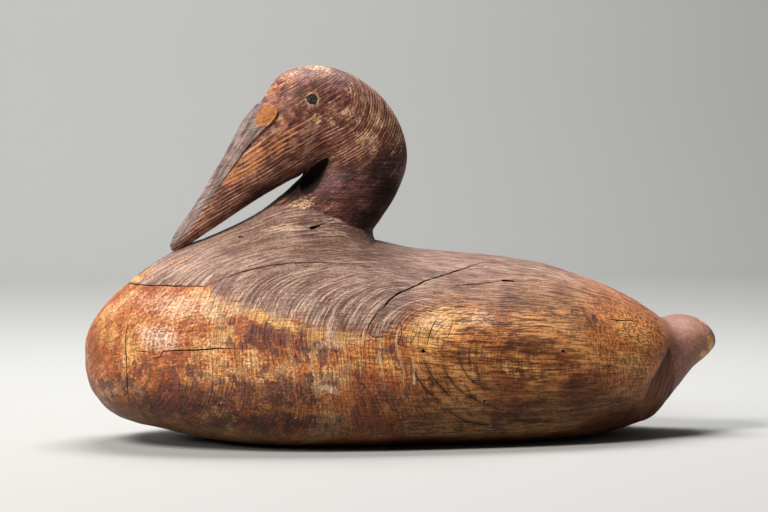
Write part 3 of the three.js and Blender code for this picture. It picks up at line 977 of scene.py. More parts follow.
def pit_tool(middle, size, skin):
    """A small rough lens, whose middle lies on the surface."""
    place, normal = skin.find_nearest(Vector(middle) * MM)[:2]
    rings = ball(14, 10)
    rough = drift(rings.reshape(-1, 3) * 10 + np.array(middle), 6, 25).reshape(rings.shape[:2])
    rings = rings * (1 + PIT_ROUGHNESS * rough)[..., None] * size
    turn = Vector(normal).to_track_quat("Z", "Y").to_matrix()
    place = np.array(place) / MM
    rings = rings @ np.array(turn).T + place
    top, bottom = np.array(normal) * size[2] + place, -np.array(normal) * size[2] + place
    return face_outwards(loft("pit", rings, top, bottom))


def pocket_tool(middle, size):
    """A lens that leans with the crease, narrower forwards; it reaches deep under the bill's base."""
    u, w, v = np.moveaxis(ball(40, 24) * size, -1, 0)
    w = w * (1 - POCKET_TAPER * u / size[0])
    turned_u = u * math.cos(POCKET_TURN) - w * math.sin(POCKET_TURN)
    turned_w = u * math.sin(POCKET_TURN) + w * math.cos(POCKET_TURN)
    rings = np.stack((turned_u, v, turned_w), axis=-1) + middle
    ends = [np.array(middle) + (0, size[2] * way, 0) for way in (1, -1)]
    return face_outwards(loft("pocket", rings, *ends))


for middle, size in THROAT_POCKETS:
    tool = pocket_tool(middle, size)
    combine(head, tool, "DIFFERENCE")
    scrap(tool)
for middle, size in PITS:
    tool = pit_tool(middle, size, head_skin if middle[2] > ON_THE_SLAB else hull_skin)
    for piece in (body, head):
        combine(piece, tool, "DIFFERENCE")
    scrap(tool)
print("body:", len(body.data.vertices), "points; head:", len(head.data.vertices), "points")

# %% [markdown]
# ## The eyes
#
# Each eye is a small dull disc sunk in a drilled hole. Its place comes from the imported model: the
# middle of the eye's box, and the nearest point of the head's skin, which gives its direction. The
# disc is turned like a button: a low dome, a rounded rim and a straight edge going into the hole.

# %% Eyes in their holes
EYE_RADIUS = 3.3
EYE_HOLE = 3.75
EYE_THICKNESS = 2.4
EYE_RECESS = 0.4
EYE_SIDES = 64
EYE_TURNING = [  # radius as a share, height above the disc's face in millimetres
    (0.16, 0.02), (0.3, 0.16), (0.5, 0.2), (0.68, 0.12), (0.76, 0.0), (0.82, 0.06), (0.9, 0.1),
    (0.96, 0.02), (0.99, -0.14), (1.0, -0.4), (1.0, -2.0), (0.97, -2.25), (0.9, -2.4),
]


def turned(name, rows, middle, out):
    """A turned solid about a line; rows are radius and height along the line, in millimetres."""
    angle = np.linspace(0, 2 * math.pi, EYE_SIDES, endpoint=False)
    rings = np.stack([
        np.stack((r * np.cos(angle), r * np.sin(angle), h + 0 * angle), axis=1) for r, h in rows
    ])
    ends = np.array([(0, 0, rows[0][1]), (0, 0, rows[-1][1])])
    turn = np.array(Vector(out).to_track_quat("Z", "Y").to_matrix())
    return face_outwards(loft(name, rings @ turn.T + middle, *(ends @ turn.T + middle)))


eyes = {}
for name in ("eye_left", "eye_right"):
    low, high = (np.array(corner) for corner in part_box(name))
    middle = (low + high) / 2
    out = np.array(head_skin.find_nearest(Vector(middle))[1])
    face = middle / MM + out * EYE_THICKNESS / 2
    hole_rows = [(EYE_HOLE, 6), (EYE_HOLE, EYE_RECESS), (EYE_HOLE * 0.97, -EYE_THICKNESS - 0.4)]
    hole = turned("hole", hole_rows, face, out)
    combine(head, hole, "DIFFERENCE")
    scrap(hole)
    rows = [(share * EYE_RADIUS, height) for share, height in EYE_TURNING]
    eyes[name] = turned("small_" + name, rows, face, out)
    print(name, "is at", [round(float(v), 1) for v in face], "mm")

# %% [markdown]
# ## What the weather did, and painted light and shade, place by place
#
# The finish of such a bird is a map: paint left on the back and shoulders, an orange breast where
# hands and water polished the wood, gold where it was rubbed bare, purple where paint stayed in
# the pores, dark stains, and painted light and shade: a highlight on the breast, light on the rump,
# shade that grows darker towards the bottom. One could paint the map as an image. Here each of
# these is one number per point of the mesh, made of soft oval patches with a place in millimetres,
# because such numbers can be read and moved. The material reads them and breaks up their edges with
# grain.

# %% Soft patches, and numbers stored on the mesh
def patches(x, z, rows):
    """Soft ovals in the side view. Rows: x, z, reach along, reach across, turn in degrees, strength."""
    total = np.zeros_like(x)
    for px, pz, along, across, turn, strength in rows:
        turn = math.radians(turn)
        dx, dz = x - px, z - pz
        u = (dx * math.cos(turn) + dz * math.sin(turn)) / along
        v = (dz * math.cos(turn) - dx * math.sin(turn)) / across
        total = np.maximum(total, strength * np.exp(-((u * u + v * v) ** 1.5)))
    return total


def store(piece, name, values):
    layer = piece.data.attributes.new(name, "FLOAT", "POINT")
    layer.data.foreach_set("value", np.asarray(values, np.float32))


def points_of(piece):
    """The points of a piece's mesh, in millimetres."""
    places = np.empty(len(piece.data.vertices) * 3, np.float32)
    piece.data.vertices.foreach_get("co", places)
    return places.reshape(-1, 3).astype(float) / MM


def depth_below(points, skins):
    """Distance to the nearest of the uncut surfaces: 0 outside, more inside a crack."""
    return np.array([
        min(skin.find_nearest(Vector(point * MM))[3] for skin in skins) / MM for point in points
    ])


# %% The hull's patches
HULL_PATCHES = {
    "gold": [  # rubbed down to clean wood
        (-116, 91.5, 25, 5.5, -21, 1.5), (-70, 78, 20, 5, -6, 1.0), (-206, 72, 6, 20, 0, 0.6),
        (-218, 76, 8, 18, 0, 0.5), (-52, 62, 24, 6, 0, 0.5), (-190, 60, 14, 6, 0, 0.35),
        (-170, 92, 22, 10, -10, 0.3), (-145, 83, 8, 3, 10, 0.8), (-4, 83, 24, 13, 20, 1.0),
        (35, 86, 22, 10, -10, 0.15), (150, 78, 18, 14, -25, 0.55), (142, 56, 30, 12, -8, 0.6),
        (60, 55, 22, 8, -10, 0.4), (-40, 62, 18, 9, 0, 0.5), (18, 45, 20, 22, 0, 0.3),
        (80, 93, 20, 6, -12, 0.25), (-150, 14, 34, 5, -4, 0.6), (40, 14, 90, 5, 0, 0.5),
        (-214, 62, 8, 14, 0, 0.3),
    ],
    "plum": [  # paint that stayed in the pores
        (-108, 76, 36, 11, -12, 0.85), (-80, 66, 18, 8, -10, 0.6), (-140, 87, 14, 6, -10, 0.5),
        (-42, 84, 16, 5, 20, 0.8), (-66, 54, 24, 6, 0, 0.3), (-126, 58, 20, 7, 0, 0.5),
        (-115, 42, 54, 13, 0, 0.95), (-174, 36, 34, 14, 6, 0.85), (-200, 58, 12, 9, 0, 0.35),
        (-50, 38, 34, 13, 0, 0.6), (-170, 56, 18, 8, 0, 0.5), (-212, 44, 14, 10, 20, 0.7),
        (60, 66, 60, 14, 0, 0.2), (105, 88, 30, 10, -14, 0.35), (-30, 70, 14, 12, 30, 0.4),
        (-120, 22, 60, 7, 0, 0.6),
    ],
    "pale": [  # worn to a bleached surface, and one painted highlight on the breast
        (-81, 44.8, 7, 2.2, 10, 0.9), (-74, 42.5, 5, 2.2, -10, 1.1), (47.4, 58, 5, 3.5, 30, 0.6),
        # the broad patch at (-186, 77) is a painted highlight on the breast
        (-19, 50, 0.8, 11, -3, 1.3), (-195.2, 114.5, 5, 2.4, 0, 1.0), (-186, 77, 15, 11, 0, 0.85),
        (-176, 99, 34, 11, -6, 0.6), (-146, 101, 12, 8, 0, 0.4), (-5, 86, 16, 8, 0, 0.6),
        (33, 89, 14, 8, 0, 0.5), (88, 92, 16, 6, -12, 0.2), (-72, 74, 18, 4, 0, 0.5),
        (-58, 88, 14, 3, 20, 0.4),
    ],
    "red_and_painted_light": [  # red where the wood was handled, and painted light that brightens the rump
        (146, 76, 38, 30, -20, 1.0), (152, 50, 30, 20, 0, 0.8), (-60, 62, 40, 10, 0, 0.4),
        (-178, 72, 26, 30, 0, 0.3), (40, 76, 50, 8, 0, 0.35), (110, 50, 30, 12, 0, 0.4),
        (-76, 33, 34, 12, 0, 0.75), (-56, 68, 22, 7, 0, 0.5),
    ],
    "checks": [  # where the rings have opened into thin dark lines
        (10, 50, 30, 34, 0, 0.95), (60, 26, 44, 10, -6, 0.5), (4, 88, 24, 12, 0, 0.6),
    ],
    "scored": [  # where the raised ring lines were rubbed pale, below the paint's edge
        (-50, 74, 32, 20, 0, 1.0), (-92, 66, 18, 16, 0, 0.6), (-30, 50, 20, 12, 0, 0.5),
    ],
    "scraped": [  # pale scratches in the paint of the seat and on the back
        (-92, 151, 15, 4, 4, 0.9), (-62, 147, 16, 4, -4, 0.9), (-112, 148, 18, 3, 10, 0.6),
        (12, 137, 16, 3, 0, 0.7), (-60, 155, 9, 2.5, 10, 0.8), (-150, 134, 20, 3, 30, 0.5),
    ],
}
DARK_STAINS_AND_SHADE = [  # dark stains, and painted shade low on the flank and rump; more painted shade rises from below
    (95, 41, 17, 8, 18, 0.9), (60, 70, 24, 7, -6, 0.5), (110, 84, 22, 8, -14, 0.5),
    (40, 30, 50, 8, 0, 0.45), (120, 25, 40, 10, 0, 0.5), (-10, 35, 30, 10, 0, 0.35),
    (66, 101, 46, 7, -6, 0.7), (10, 62, 14, 7, 0, 0.3), (84, 30, 44, 12, 0, 0.95),
    (70, 104, 40, 7, -6, 0.5), (-110, 32, 60, 8, 0, 0.5),
]
CHIPS = [  # where the paint came off to the wood
    (219, 66, 3.5, 6, 10, 1.1), (214, 58, 4, 2.5, 35, 1.0), (219, 80, 5, 1.8, -30, 0.9),
    (-196, 115, 6, 2, 20, 0.8), (-188, 119, 9, 2, 35, 0.45), (-168, 127, 10, 2.5, 35, 0.3),
]
print("patches on the hull:", sum(len(rows) for rows in HULL_PATCHES.values()) + len(DARK_STAINS_AND_SHADE + CHIPS))

# %% [markdown]
# ## The rest of the hull's map
#
# Some things aren't ovals. The old paint ends along a line, drawn here as heights over x. On the
# breast it ends at the seam, so there each of the two blocks gets its own height. Breast, flank,
# rump and tail wear in different ways, and pass into each other over a few centimetres. On the rump
# the knife came out across the fibres, which gives end grain.
#
# Wood fibres don't follow x and z either: on a carved hull they close in towards both ends. So each
# point also gets the height and depth that it would have if the hull were a straight beam.

# %% Where things pass into each other
FAR_SHIFT = 22  # the hidden side gets the same patches, moved along by this much
PAINT_LINE = [  # x, and the height above which the paint stayed
    (-147, 103), (-138, 100), (-128, 97.5), (-115, 95.5), (-104, 92.5), (-93, 88.5), (-80, 84),
    (-64.7, 80.5), (-50.9, 81), (-33.1, 86), (-13.3, 96), (7, 103), (31.7, 107), (57, 109),
    (91.4, 108), (121, 104), (149.8, 98), (172.6, 88), (182, 66), (190, 52), (205, 30), (240, 0),
]
PAINT_REACH = 60  # further than this from the line, its distance no longer counts
SEAM_CORNER = -153  # where the seam turns back, along x
BEHIND_FROM, BEHIND_TO = -95, 30  # between these the breast's finish passes into the flank's
RUMP_FROM, RUMP_TO = 80, 165
TAIL_FROM, TAIL_TO = 198, 206
TAIL_LEAN = 0.25  # the tail's paint begins further forward at the top
# painted shade, darker towards the bottom: it reaches up to this height, over this distance
LOW_SHADE_TOP, LOW_SHADE_REACH = 70, 62
END_GRAIN_FROM, END_GRAIN_TO = 88, 128
END_GRAIN_TOP, END_GRAIN_FADE = 108, 22
# painted shade in the valley behind the ridge, and a painted highlight on the ridge
VALLEY_SHADE_AT, VALLEY_SHADE_REACH = 8, 5  # behind the ridge
RIDGE_HIGHLIGHT_AT, RIDGE_HIGHLIGHT_REACH = -1, 4
OPENING_REACH = 1.7  # how far an opened ring stains the wood beside it
SPINE_HALF_WIDTH, SPINE_FADE = 36, 24
BEAM_HALF_WIDTH = 108  # the straight beam that the fibres are laid out on
BEAM_HEIGHT = 140
NARROWEST = 30
FRONT_BARE = 140  # a height for the paint's edge in front that leaves all of the hull's breast bare
FRONT_PAINTED = 80  # and one that has all of the seat's front painted


def store_flow(piece, points):
    """Places for the fibres, which close in towards the ends of the hull as its outline does."""
    x, y, z = points.T
    keel = keel_line(x)
    store(piece, "flow_y", y * BEAM_HALF_WIDTH / np.maximum(half_width(x), NARROWEST))
    tall = np.maximum(back_line(x) - keel, NARROWEST)
    store(piece, "flow_z", (z - keel) * BEAM_HEIGHT / tall)


def from_opened_rings(points):
    """Distance in the side view to the nearest opened ring."""
    lines = [[(x, z) for x, _, z in row[2]] for row in OPENED_RINGS]
    return np.min([distance_to(line, points[:, 0], points[:, 2]) for line in lines], axis=0)


def stern_map(x, z, back):
    """Painted highlight on the ridge, painted shade in the valley, and the bare end behind them; back is the
    distance behind the ridge.
    """
    return {
        "valley": bell(back, VALLEY_SHADE_AT, VALLEY_SHADE_REACH) * smoothstep(z, 30, 56),
        "ridge": bell(back, RIDGE_HIGHLIGHT_AT, RIDGE_HIGHLIGHT_REACH) * smoothstep(z, 25, 50) * smoothstep(96 - z, 0, 8),
        "stern": smoothstep(back, 2, 9) * smoothstep(204 - x - TAIL_LEAN * z, 0, 8),
    }


def store_hull_map(piece, points, front_height):
    """The hull's map on a piece. In front its paint ends at front_height, which is at the seam."""
    store_flow(piece, points)
    x, y, z = points.T
    x = x + FAR_SHIFT * smoothstep(y, -20, 20) * smoothstep(170 - np.abs(x), 0, 60)
    front = [(-240, front_height), (SEAM_CORNER, front_height), (SEAM_CORNER + 1, SEAT_FLOOR)]
    line = np.interp(x, *np.array(front + PAINT_LINE).T)
    tail = x + TAIL_LEAN * z + 2.5 * drift(points, 9, 13)
    end_grain = smoothstep(x, END_GRAIN_FROM, END_GRAIN_TO) * smoothstep(z, 24, 52)
    numbers = {name: patches(x, z, rows) for name, rows in HULL_PATCHES.items()}
    numbers |= {
        "paint": np.clip(z - line, -PAINT_REACH, PAINT_REACH),
        "behind": smoothstep(x, BEHIND_FROM, BEHIND_TO),
        "rump": smoothstep(x, RUMP_FROM, RUMP_TO),
        "tail": smoothstep(tail, TAIL_FROM, TAIL_TO),
        "chips": patches(x, z + 0.3 * np.maximum(y, 0), CHIPS),
        # dark stains, and painted shade that grows darker towards the bottom
        "stains_and_shade": np.maximum(patches(x, z, DARK_STAINS_AND_SHADE), smoothstep(LOW_SHADE_TOP - z, 0, LOW_SHADE_REACH)),
        "opening": bell(from_opened_rings(points), 0, OPENING_REACH) * (y < 0),
        "end_grain": end_grain * smoothstep(END_GRAIN_TOP - z, 0, END_GRAIN_FADE),
        "spine": smoothstep(SPINE_HALF_WIDTH - np.abs(y), 0, SPINE_FADE) * smoothstep(z, 104, 116),
    }
    numbers |= stern_map(x, z, behind_ridge(points))
    for name, values in numbers.items():
        store(piece, name, values)


body_points, head_all_points = points_of(body), points_of(head)
store(body, "rings", hull_heart_distance(body_points))
store(body, "crack", depth_below(body_points, [hull_skin]))
store_hull_map(body, body_points, FRONT_BARE)
print("body map stored for", len(body_points), "points:", len(body.data.attributes), "attributes")

# %% [markdown]
# ## The head's map
#
# The head is the other block, and it wore in its own way: the crown and cheek are rubbed pale, and
# the bill shows orange wood. Painted shade darkens the crease of the throat, the bill's underside
# and the nape. The shoulder seat belongs to this block but was painted with the hull, so this mesh
# carries both maps, and one more number says where the first ends and the second begins.

# %% The head's patches
HEAD_PATCHES = {
    "bare": [  # rubbed down to pale wood
        (-71, 226, 8, 4, -60, 0.75), (-79, 231, 4, 2, -20, 0.5), (-31, 230, 9, 12, 30, 0.5),
        (-60, 264, 30, 5, 0, 0.6), (-90, 255, 20, 4, 38, 0.35), (-40, 246, 14, 7, -40, 0.4),
        (-20, 240, 6, 20, 30, 0.4), (-83, 166, 14, 4.5, 20, 0.75), (-40, 210, 22, 8, 30, 0.15),
        (-166, 140, 8, 8, 0, 0.2), (-62, 236, 8, 3, 50, 0.4), (-50, 222, 18, 8, -10, 0.35),
        (-12, 206, 8, 18, 0, 0.35), (-46, 226, 12, 6, -45, 0.6), (-60, 222, 9, 5, -40, 0.6),
        (-36, 214, 20, 9, -40, 0.5),
    ],
    "lobe": [(-105, 229, 10, 5.8, 50, 1.25)],  # the end of the bill's plate
    "orange": [
        (-129, 190, 14, 9, 50, 0.85), (-100, 208, 24, 9, 35, 0.7), (-112, 196, 10, 8, 30, 0.6),
        (-45, 200, 22, 8, 10, 0.25), (-92, 250, 12, 4, 40, 0.5),
    ],
    "shadowed": [  # painted shade: the crease between bill and throat, the bill's underside, and low on the nape
        (-72, 186, 17, 7, 48, 1.0), (-80, 181, 17, 6.5, 52, 1.1), (-100, 168, 18, 3.5, 30, 0.8),
        (-18, 172, 18, 30, 20, 0.85), (-30, 158, 24, 12, 20, 0.8), (-108, 172, 28, 7, 38, 0.9),
        (-58, 190, 24, 10, 10, 0.3),
    ],
}
NECK_FOOT = [  # x, and the height above which the head's paint begins
    (-180, 127), (-167, 134.5), (-150, 147), (-120, 158), (-100, 166), (-87, 166), (-76, 163),
    (-59, 158), (-48, 152), (-29, 145), (-10, 139), (20, 137),
]
PLATE_TOP = 247  # above this height nothing belongs to the bill's plate
LID = (3.4, 4.2, 5.0, 6.2)  # the pale ring round an eye begins, is full, is full, and ends


def head_share(points):
    """1 on head and neck, 0 on the shoulders, with a soft change at the foot of the neck."""
    x, _, z = points.T
    line = np.interp(x, *np.array(NECK_FOOT).T)
    return smoothstep(z - line + 1.6 * drift(points, 7, 12), -1.2, 1.2)


def on_plate(x, z):
    """1 on the bill's plate, in front of its edge, fading out where its two lobes begin."""
    edge = np.interp(z, *np.array(sorted((b, a) for a, b in PLATE_EDGE)).T)
    return ((edge > x) & (z < PLATE_TOP)) * smoothstep(x, -100, -112)


# %% The head's map
near_head = head_share(head_all_points)
hull_rings_here = hull_heart_distance(head_all_points)
eye_faces = [np.array(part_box(name)).mean(axis=0) / MM for name in eyes]
from_eye = np.min([np.linalg.norm(head_all_points - face, axis=1) for face in eye_faces], axis=0)
x, _, z = head_all_points.T
head_numbers = {name: patches(x, z, rows) for name, rows in HEAD_PATCHES.items()}
head_numbers |= {
    "rings": np.where(near_head > 0, head_heart_distance(head_all_points), hull_rings_here),
    "hull_rings": hull_rings_here,
    "head": near_head,
    "lid": smoothstep(from_eye, LID[0], LID[1]) * smoothstep(LID[3] - from_eye, 0, LID[3] - LID[2]),
    "crack": depth_below(head_all_points, [hull_skin, head_skin]),
    "throat": throat_share(head_all_points),
    "culmen": on_plate(x, z),
    "lined": lined_share(head_all_points),
}
for name, values in head_numbers.items():
    store(head, name, values)
store_hull_map(head, head_all_points, FRONT_PAINTED)
print("head map stored for", len(head_all_points), "points:", len(head.data.attributes), "attributes")

# %% [markdown]
# ## Writing a material as a recipe
#
# A material is a tree of nodes. Written out in full, each node takes five lines, and the idea gets
# lost. These helpers make a node, plug it in and hand back its output, so a material below reads
# from top to bottom: what is mixed with what, and how much.

# %% Helpers for materials
OLD_WOOD_GLOSS = 0.24  # half the usual: its oil and wax are long gone


class Recipe:
    """One material's nodes, made in the order in which they are needed."""

    def __init__(self, name):
        self.material = bpy.data.materials.new(name)
        self.material.use_nodes = True
        self.nodes = self.material.node_tree.nodes
        self.links = self.material.node_tree.links
        self.shader = self.nodes["Principled BSDF"]
        self.shader.inputs["Specular IOR Level"].default_value = OLD_WOOD_GLOSS

    def put(self, socket, value):
        if isinstance(value, bpy.types.NodeSocket):
            self.links.new(value, socket)
        elif isinstance(value, tuple) and len(value) == 3 and socket.type == "RGBA":
            socket.default_value = (*value, 1)
        else:
            socket.default_value = value

    def add(self, kind, inputs, **settings):
        node = self.nodes.new(kind)
        for key, value in settings.items():
            setattr(node, key, value)
        for key, value in inputs.items():
            self.put(node.inputs[key], value)
        return node

    def number(self, name):
        """A number stored on the mesh."""
        return self.add("ShaderNodeAttribute", {}, attribute_name=name).outputs["Fac"]

    def maths(self, how, a, b=0.0):
        return self.add("ShaderNodeMath", {0: a, 1: b}, operation=how).outputs[0]

    def plus(self, a, b):
        return self.maths("ADD", a, b)

    def times(self, a, b):
        return self.maths("MULTIPLY", a, b)

    def rest(self, value):
        """What is left of 1."""
        return self.maths("SUBTRACT", 1.0, value)

    def most(self, value, *others):
        for other in others:
            value = self.maths("MAXIMUM", value, other)
        return value

    def mixed(self, first, *others):
        """The sum of several numbers, each with its own weight."""
        total = self.times(*first)
        for part in others:
            total = self.plus(total, self.times(*part))
        return total

    def stirred(self, value, *noises):
        """A number moved up and down by noises, each with its own strength."""
        for noise, strength in noises:
            value = self.plus(value, self.times(self.plus(noise, -0.5), strength))
        return value

    def faded(self, share, a, b):
        """A number that is a where the share is 0, and b where it is 1."""
        return self.plus(self.times(a, self.rest(share)), self.times(b, share))

    def between(self, value, low, high, start=0.0, end=1.0):
        """A soft step: start below low, end above high."""
        inputs = {"Value": value, "From Min": low, "From Max": high, "To Min": start, "To Max": end}
        return self.add("ShaderNodeMapRange", inputs, interpolation_type="SMOOTHSTEP").outputs[0]


# %% [markdown]
# ## Helpers for colours and for places
#
# A finish is a recipe that also knows colours, and places for noise. A noise is a cloud, the same in
# every direction. Stretch the place that it is read at, and it becomes a fibre. Read it by the number
# of the growth ring instead of by height, and it follows the grain of the block.

# %% Colours and places
class Finish(Recipe):
    """A recipe with colours and noises."""

    def blend(self, share, a, b):
        node = self.add("ShaderNodeMix", {}, data_type="RGBA")
        self.put(node.inputs["Factor"], share)
        self.put(node.inputs[6], a)
        self.put(node.inputs[7], b)
        return node.outputs[2]

    def patched(self, under, name, noises, edge, colour, most=0.8):
        """A colour laid on another where the map says so, its edge broken up by noises."""
        share = self.stirred(self.number(name), *noises)
        return self.blend(self.between(share, *edge, 0.0, most), under, colour)

    def ramp(self, value, stops):
        node = self.add("ShaderNodeValToRGB", {"Fac": value})
        band = node.color_ramp
        while len(band.elements) < len(stops):
            band.elements.new(0.5)
        for element, (place, colour) in zip(band.elements, stops):
            element.position = place
            element.color = (*colour, 1)
        return node.outputs["Color"]

    def scaled(self, colour, amount):
        """A colour made lighter or darker."""
        inputs = {0: colour, 3: amount}
        return self.add("ShaderNodeVectorMath", inputs, operation="SCALE").outputs[0]

    def split(self, place):
        return self.add("ShaderNodeSeparateXYZ", {0: place}).outputs

    def joined(self, x, y, z):
        return self.add("ShaderNodeCombineXYZ", {0: x, 1: y, 2: z}).outputs[0]

    def place(self):
        """The point in millimetres, in the part's own frame."""
        spot = self.add("ShaderNodeTexCoord", {}).outputs["Object"]
        return self.scaled(spot, 1 / MM)

    def stretched(self, place, sizes):
        """A place for noise that is so many millimetres long in x, y and z."""
        inputs = {0: place, 1: tuple(1 / size for size in sizes)}
        return self.add("ShaderNodeVectorMath", inputs, operation="MULTIPLY").outputs[0]

    def along_grain(self, place, rings, fine, long):
        """A place for noise that is `fine` mm across the rings and `long` mm along them."""
        x, y, z = self.split(place)
        across = self.plus(self.times(rings, 1 / fine), self.times(y, 0.4 / long))
        return self.joined(across, self.times(x, 1 / long), self.times(z, 1 / long))

    def leaning(self, place, way, long, fine):
        """A place for noise that is `long` mm along a direction of the side view and `fine` across."""
        x, y, z = self.split(place)
        along = self.plus(self.times(x, way[0] / long), self.times(z, way[1] / long))
        across = self.plus(self.times(x, -way[1] / fine), self.times(z, way[0] / fine))
        return self.joined(along, self.times(y, 2 / long), across)

    def clouds(self, place, size=1.0, detail=2.0, rough=0.6, output="Fac"):
        inputs = {"Vector": place, "Scale": 1 / size, "Detail": detail, "Roughness": rough}
        return self.add("ShaderNodeTexNoise", inputs).outputs[output]

    def cells(self, place, output="Color"):
        """Small cells, each with a number of its own; "Distance" gives the way to their edges."""
        feature = "F1" if output == "Color" else "DISTANCE_TO_EDGE"
        node = self.add("ShaderNodeTexVoronoi", {"Vector": place, "Scale": 1.0}, feature=feature)
        return node.outputs[output]

    def lines(self, rings, gap, sharpness):
        """1 on each ring line and 0 between them; higher sharpness makes the lines thinner."""
        wave = self.maths("COSINE", self.times(rings, 2 * math.pi / gap))
        return self.maths("POWER", self.between(wave, -1.0, 1.0), sharpness)

    def finish(self, colour, roughness, height, strength, distance):
        self.put(self.shader.inputs["Base Color"], colour)
        self.put(self.shader.inputs["Roughness"], roughness)
        inputs = {"Height": height, "Strength": strength, "Distance": distance * MM}
        bump = self.add("ShaderNodeBump", inputs)
        self.put(self.shader.inputs["Normal"], bump.outputs["Normal"])
        return self.material


# %% [markdown]
# ## The grain of the hull
#
# Everything on the hull is mixed from a few noises. Fibres and strands run along the beam that the
# map has laid out. Threads and bands follow the growth rings. Clouds and flecks have no direction,
# cells are for paint that crazed, and the upright ticks are for the end grain of the rump.

# %% The hull's noises
class HullGrain:
    """The noises and stored numbers that the hull's finish is mixed from."""

    def __init__(self, mat, place, rings):
        self.place, self.rings = place, rings
        x, self.y, self.z = mat.split(place)
        flow = mat.joined(x, mat.number("flow_y"), mat.number("flow_z"))
        self.fibre = mat.clouds(mat.stretched(flow, (13, 1.1, 1.1)))
        self.strand = mat.clouds(mat.stretched(flow, (24, 3.6, 3.6)), 1.0, 3.0, 0.65)
        self.thread = mat.clouds(mat.along_grain(place, rings, 1.0, 24))
        self.band = mat.clouds(mat.along_grain(place, rings, 2.6, 16), 1.0, 3.0)
        self.mottle = mat.clouds(place, 34.0, 3.0, 0.55)
        self.cloud = mat.clouds(place, 13.0, 4.0, 0.65)
        self.fleck = mat.clouds(place, 1.7, 3.0, 0.7)
        self.tick = mat.clouds(mat.stretched(place, (1.2, 5.0, 5.0)))
        shake = mat.scaled(mat.clouds(place, 4.0, 2.0, 0.6, "Color"), 9)
        shaken = mat.add("ShaderNodeVectorMath", {0: shake, 1: place}, operation="ADD").outputs[0]
        self.cell = mat.cells(mat.stretched(shaken, (4.6, 6.4, 6.4)))
        crazed = mat.cells(mat.stretched(place, (3.4, 2.2, 2.2)), "Distance")
        self.crazed = mat.between(crazed, 0.0, 0.16, 1.0, 0.0)
        self.behind = mat.number("behind")
        self.tail = mat.number("tail")
        self.ended = mat.number("end_grain")
        self.light = self.light_and_dark(mat)

    def light_and_dark(self, mat):
        """Flecked on the breast, fibrous on the flank, cross-hatched on the rump."""
        breast = mat.mixed((self.fleck, 0.4), (self.thread, 0.3), (self.fibre, 0.3))
        flank = mat.mixed((self.fibre, 0.55), (self.strand, 0.2), (self.fleck, 0.25))
        noises = (self.fleck, 0.65), (self.thread, 0.25), (self.tick, 0.55), (self.fibre, 0.35)
        flank = mat.faded(self.ended, flank, mat.stirred(0.5, *noises))
        return mat.between(mat.faded(self.behind, breast, flank), 0.41, 0.59)


# %% [markdown]
# ## Bare wood
#
# Bare pine goes from gold to a deep red brown, orange on the breast where it was polished. Each ramp
# turns a noise into wood colours, and the patches of the map are laid over it one by one; the red
# patches also carry painted light on the rump, and the pale ones a painted highlight on the breast.
# The noises move the edge of each patch, so it looks worn and not painted on.

# %% The colours of bare wood
BREAST_WOOD = [
    (0.0, (0.36, 0.095, 0.030)), (0.4, (0.52, 0.160, 0.048)), (0.75, (0.66, 0.270, 0.085)),
    (1.0, (0.76, 0.420, 0.190)),
]
FLANK_WOOD = [
    (0.0, (0.190, 0.055, 0.016)), (0.5, (0.36, 0.130, 0.037)), (1.0, (0.55, 0.250, 0.082)),
]
# the red of handled wood, also used as painted light on the rump
RED_WOOD_AND_PAINTED_LIGHT = (0.55, 0.185, 0.055)
RUBBED_GOLD = (0.78, 0.42, 0.135)
PLUM_STAIN = (0.125, 0.040, 0.034)
# pale worn wood, also used for the painted highlight on the breast
BLEACHED_AND_HIGHLIGHT = (0.84, 0.56, 0.39)


def bare_wood(mat, g):
    tone = mat.mixed((g.mottle, 0.5), (g.cloud, 0.3), (g.fleck, 0.2))
    breast = mat.ramp(mat.between(tone, 0.41, 0.59), BREAST_WOOD)
    tone = mat.mixed((g.mottle, 0.5), (g.strand, mat.between(g.ended, 0.0, 1.0, 0.5, 0.2)))
    short = mat.mixed((g.cloud, 0.5), (g.thread, 0.5))
    tone = mat.plus(tone, mat.times(short, mat.times(g.ended, 0.3)))
    flank = mat.ramp(mat.between(tone, 0.40, 0.60), FLANK_WOOD)
    wood = mat.blend(mat.between(mat.stirred(g.behind, (g.mottle, 1.5)), 0.15, 0.95), breast, flank)
    noises = (g.strand, 1.4), (g.fibre, 0.8)
    # red wood, and painted light that brightens the rump
    wood = mat.patched(wood, "red_and_painted_light", noises, (0.15, 0.85), RED_WOOD_AND_PAINTED_LIGHT, 0.78)
    noises = (g.band, 1.2), (g.cloud, 1.0), (g.fibre, 0.9)
    wood = mat.patched(wood, "gold", noises, (0.2, 0.85), RUBBED_GOLD)
    noises = (g.cell, 1.1), (g.cloud, 1.2), (g.thread, 1.4), (g.fleck, 1.0)
    wood = mat.patched(wood, "plum", noises, (0.3, 0.75), PLUM_STAIN, 0.82)
    # pale worn wood, and a painted highlight on the breast
    noises = (g.fleck, 1.1), (g.thread, 0.3), (g.mottle, 0.8)
    return mat.patched(wood, "pale", noises, (0.2, 1.0), BLEACHED_AND_HIGHLIGHT)


# %% [markdown]
# ## Lines along the rings, and what darkens the wood
#
# A ring shows in two ways. Where it stands up, hands rub it pale; where it opens, it is a thin dark
# line. Both are drawn by the cosine of the ring's number, made so sharp that only the crest is left.
# Stains and painted shade come last, because they lie over all of it; the painted shade grows
# darker towards the bottom.

# %% Ring lines, stains and painted shade
SCORED_WOOD = (0.80, 0.46, 0.24)
STAIN_AND_SHADE_BLACK = (0.045, 0.012, 0.005)
UNEVEN = 5.0  # how far the clouds push a ring line aside, in millimetres
WIDE_GAP = 6.0
TICK_GAP = 1.35


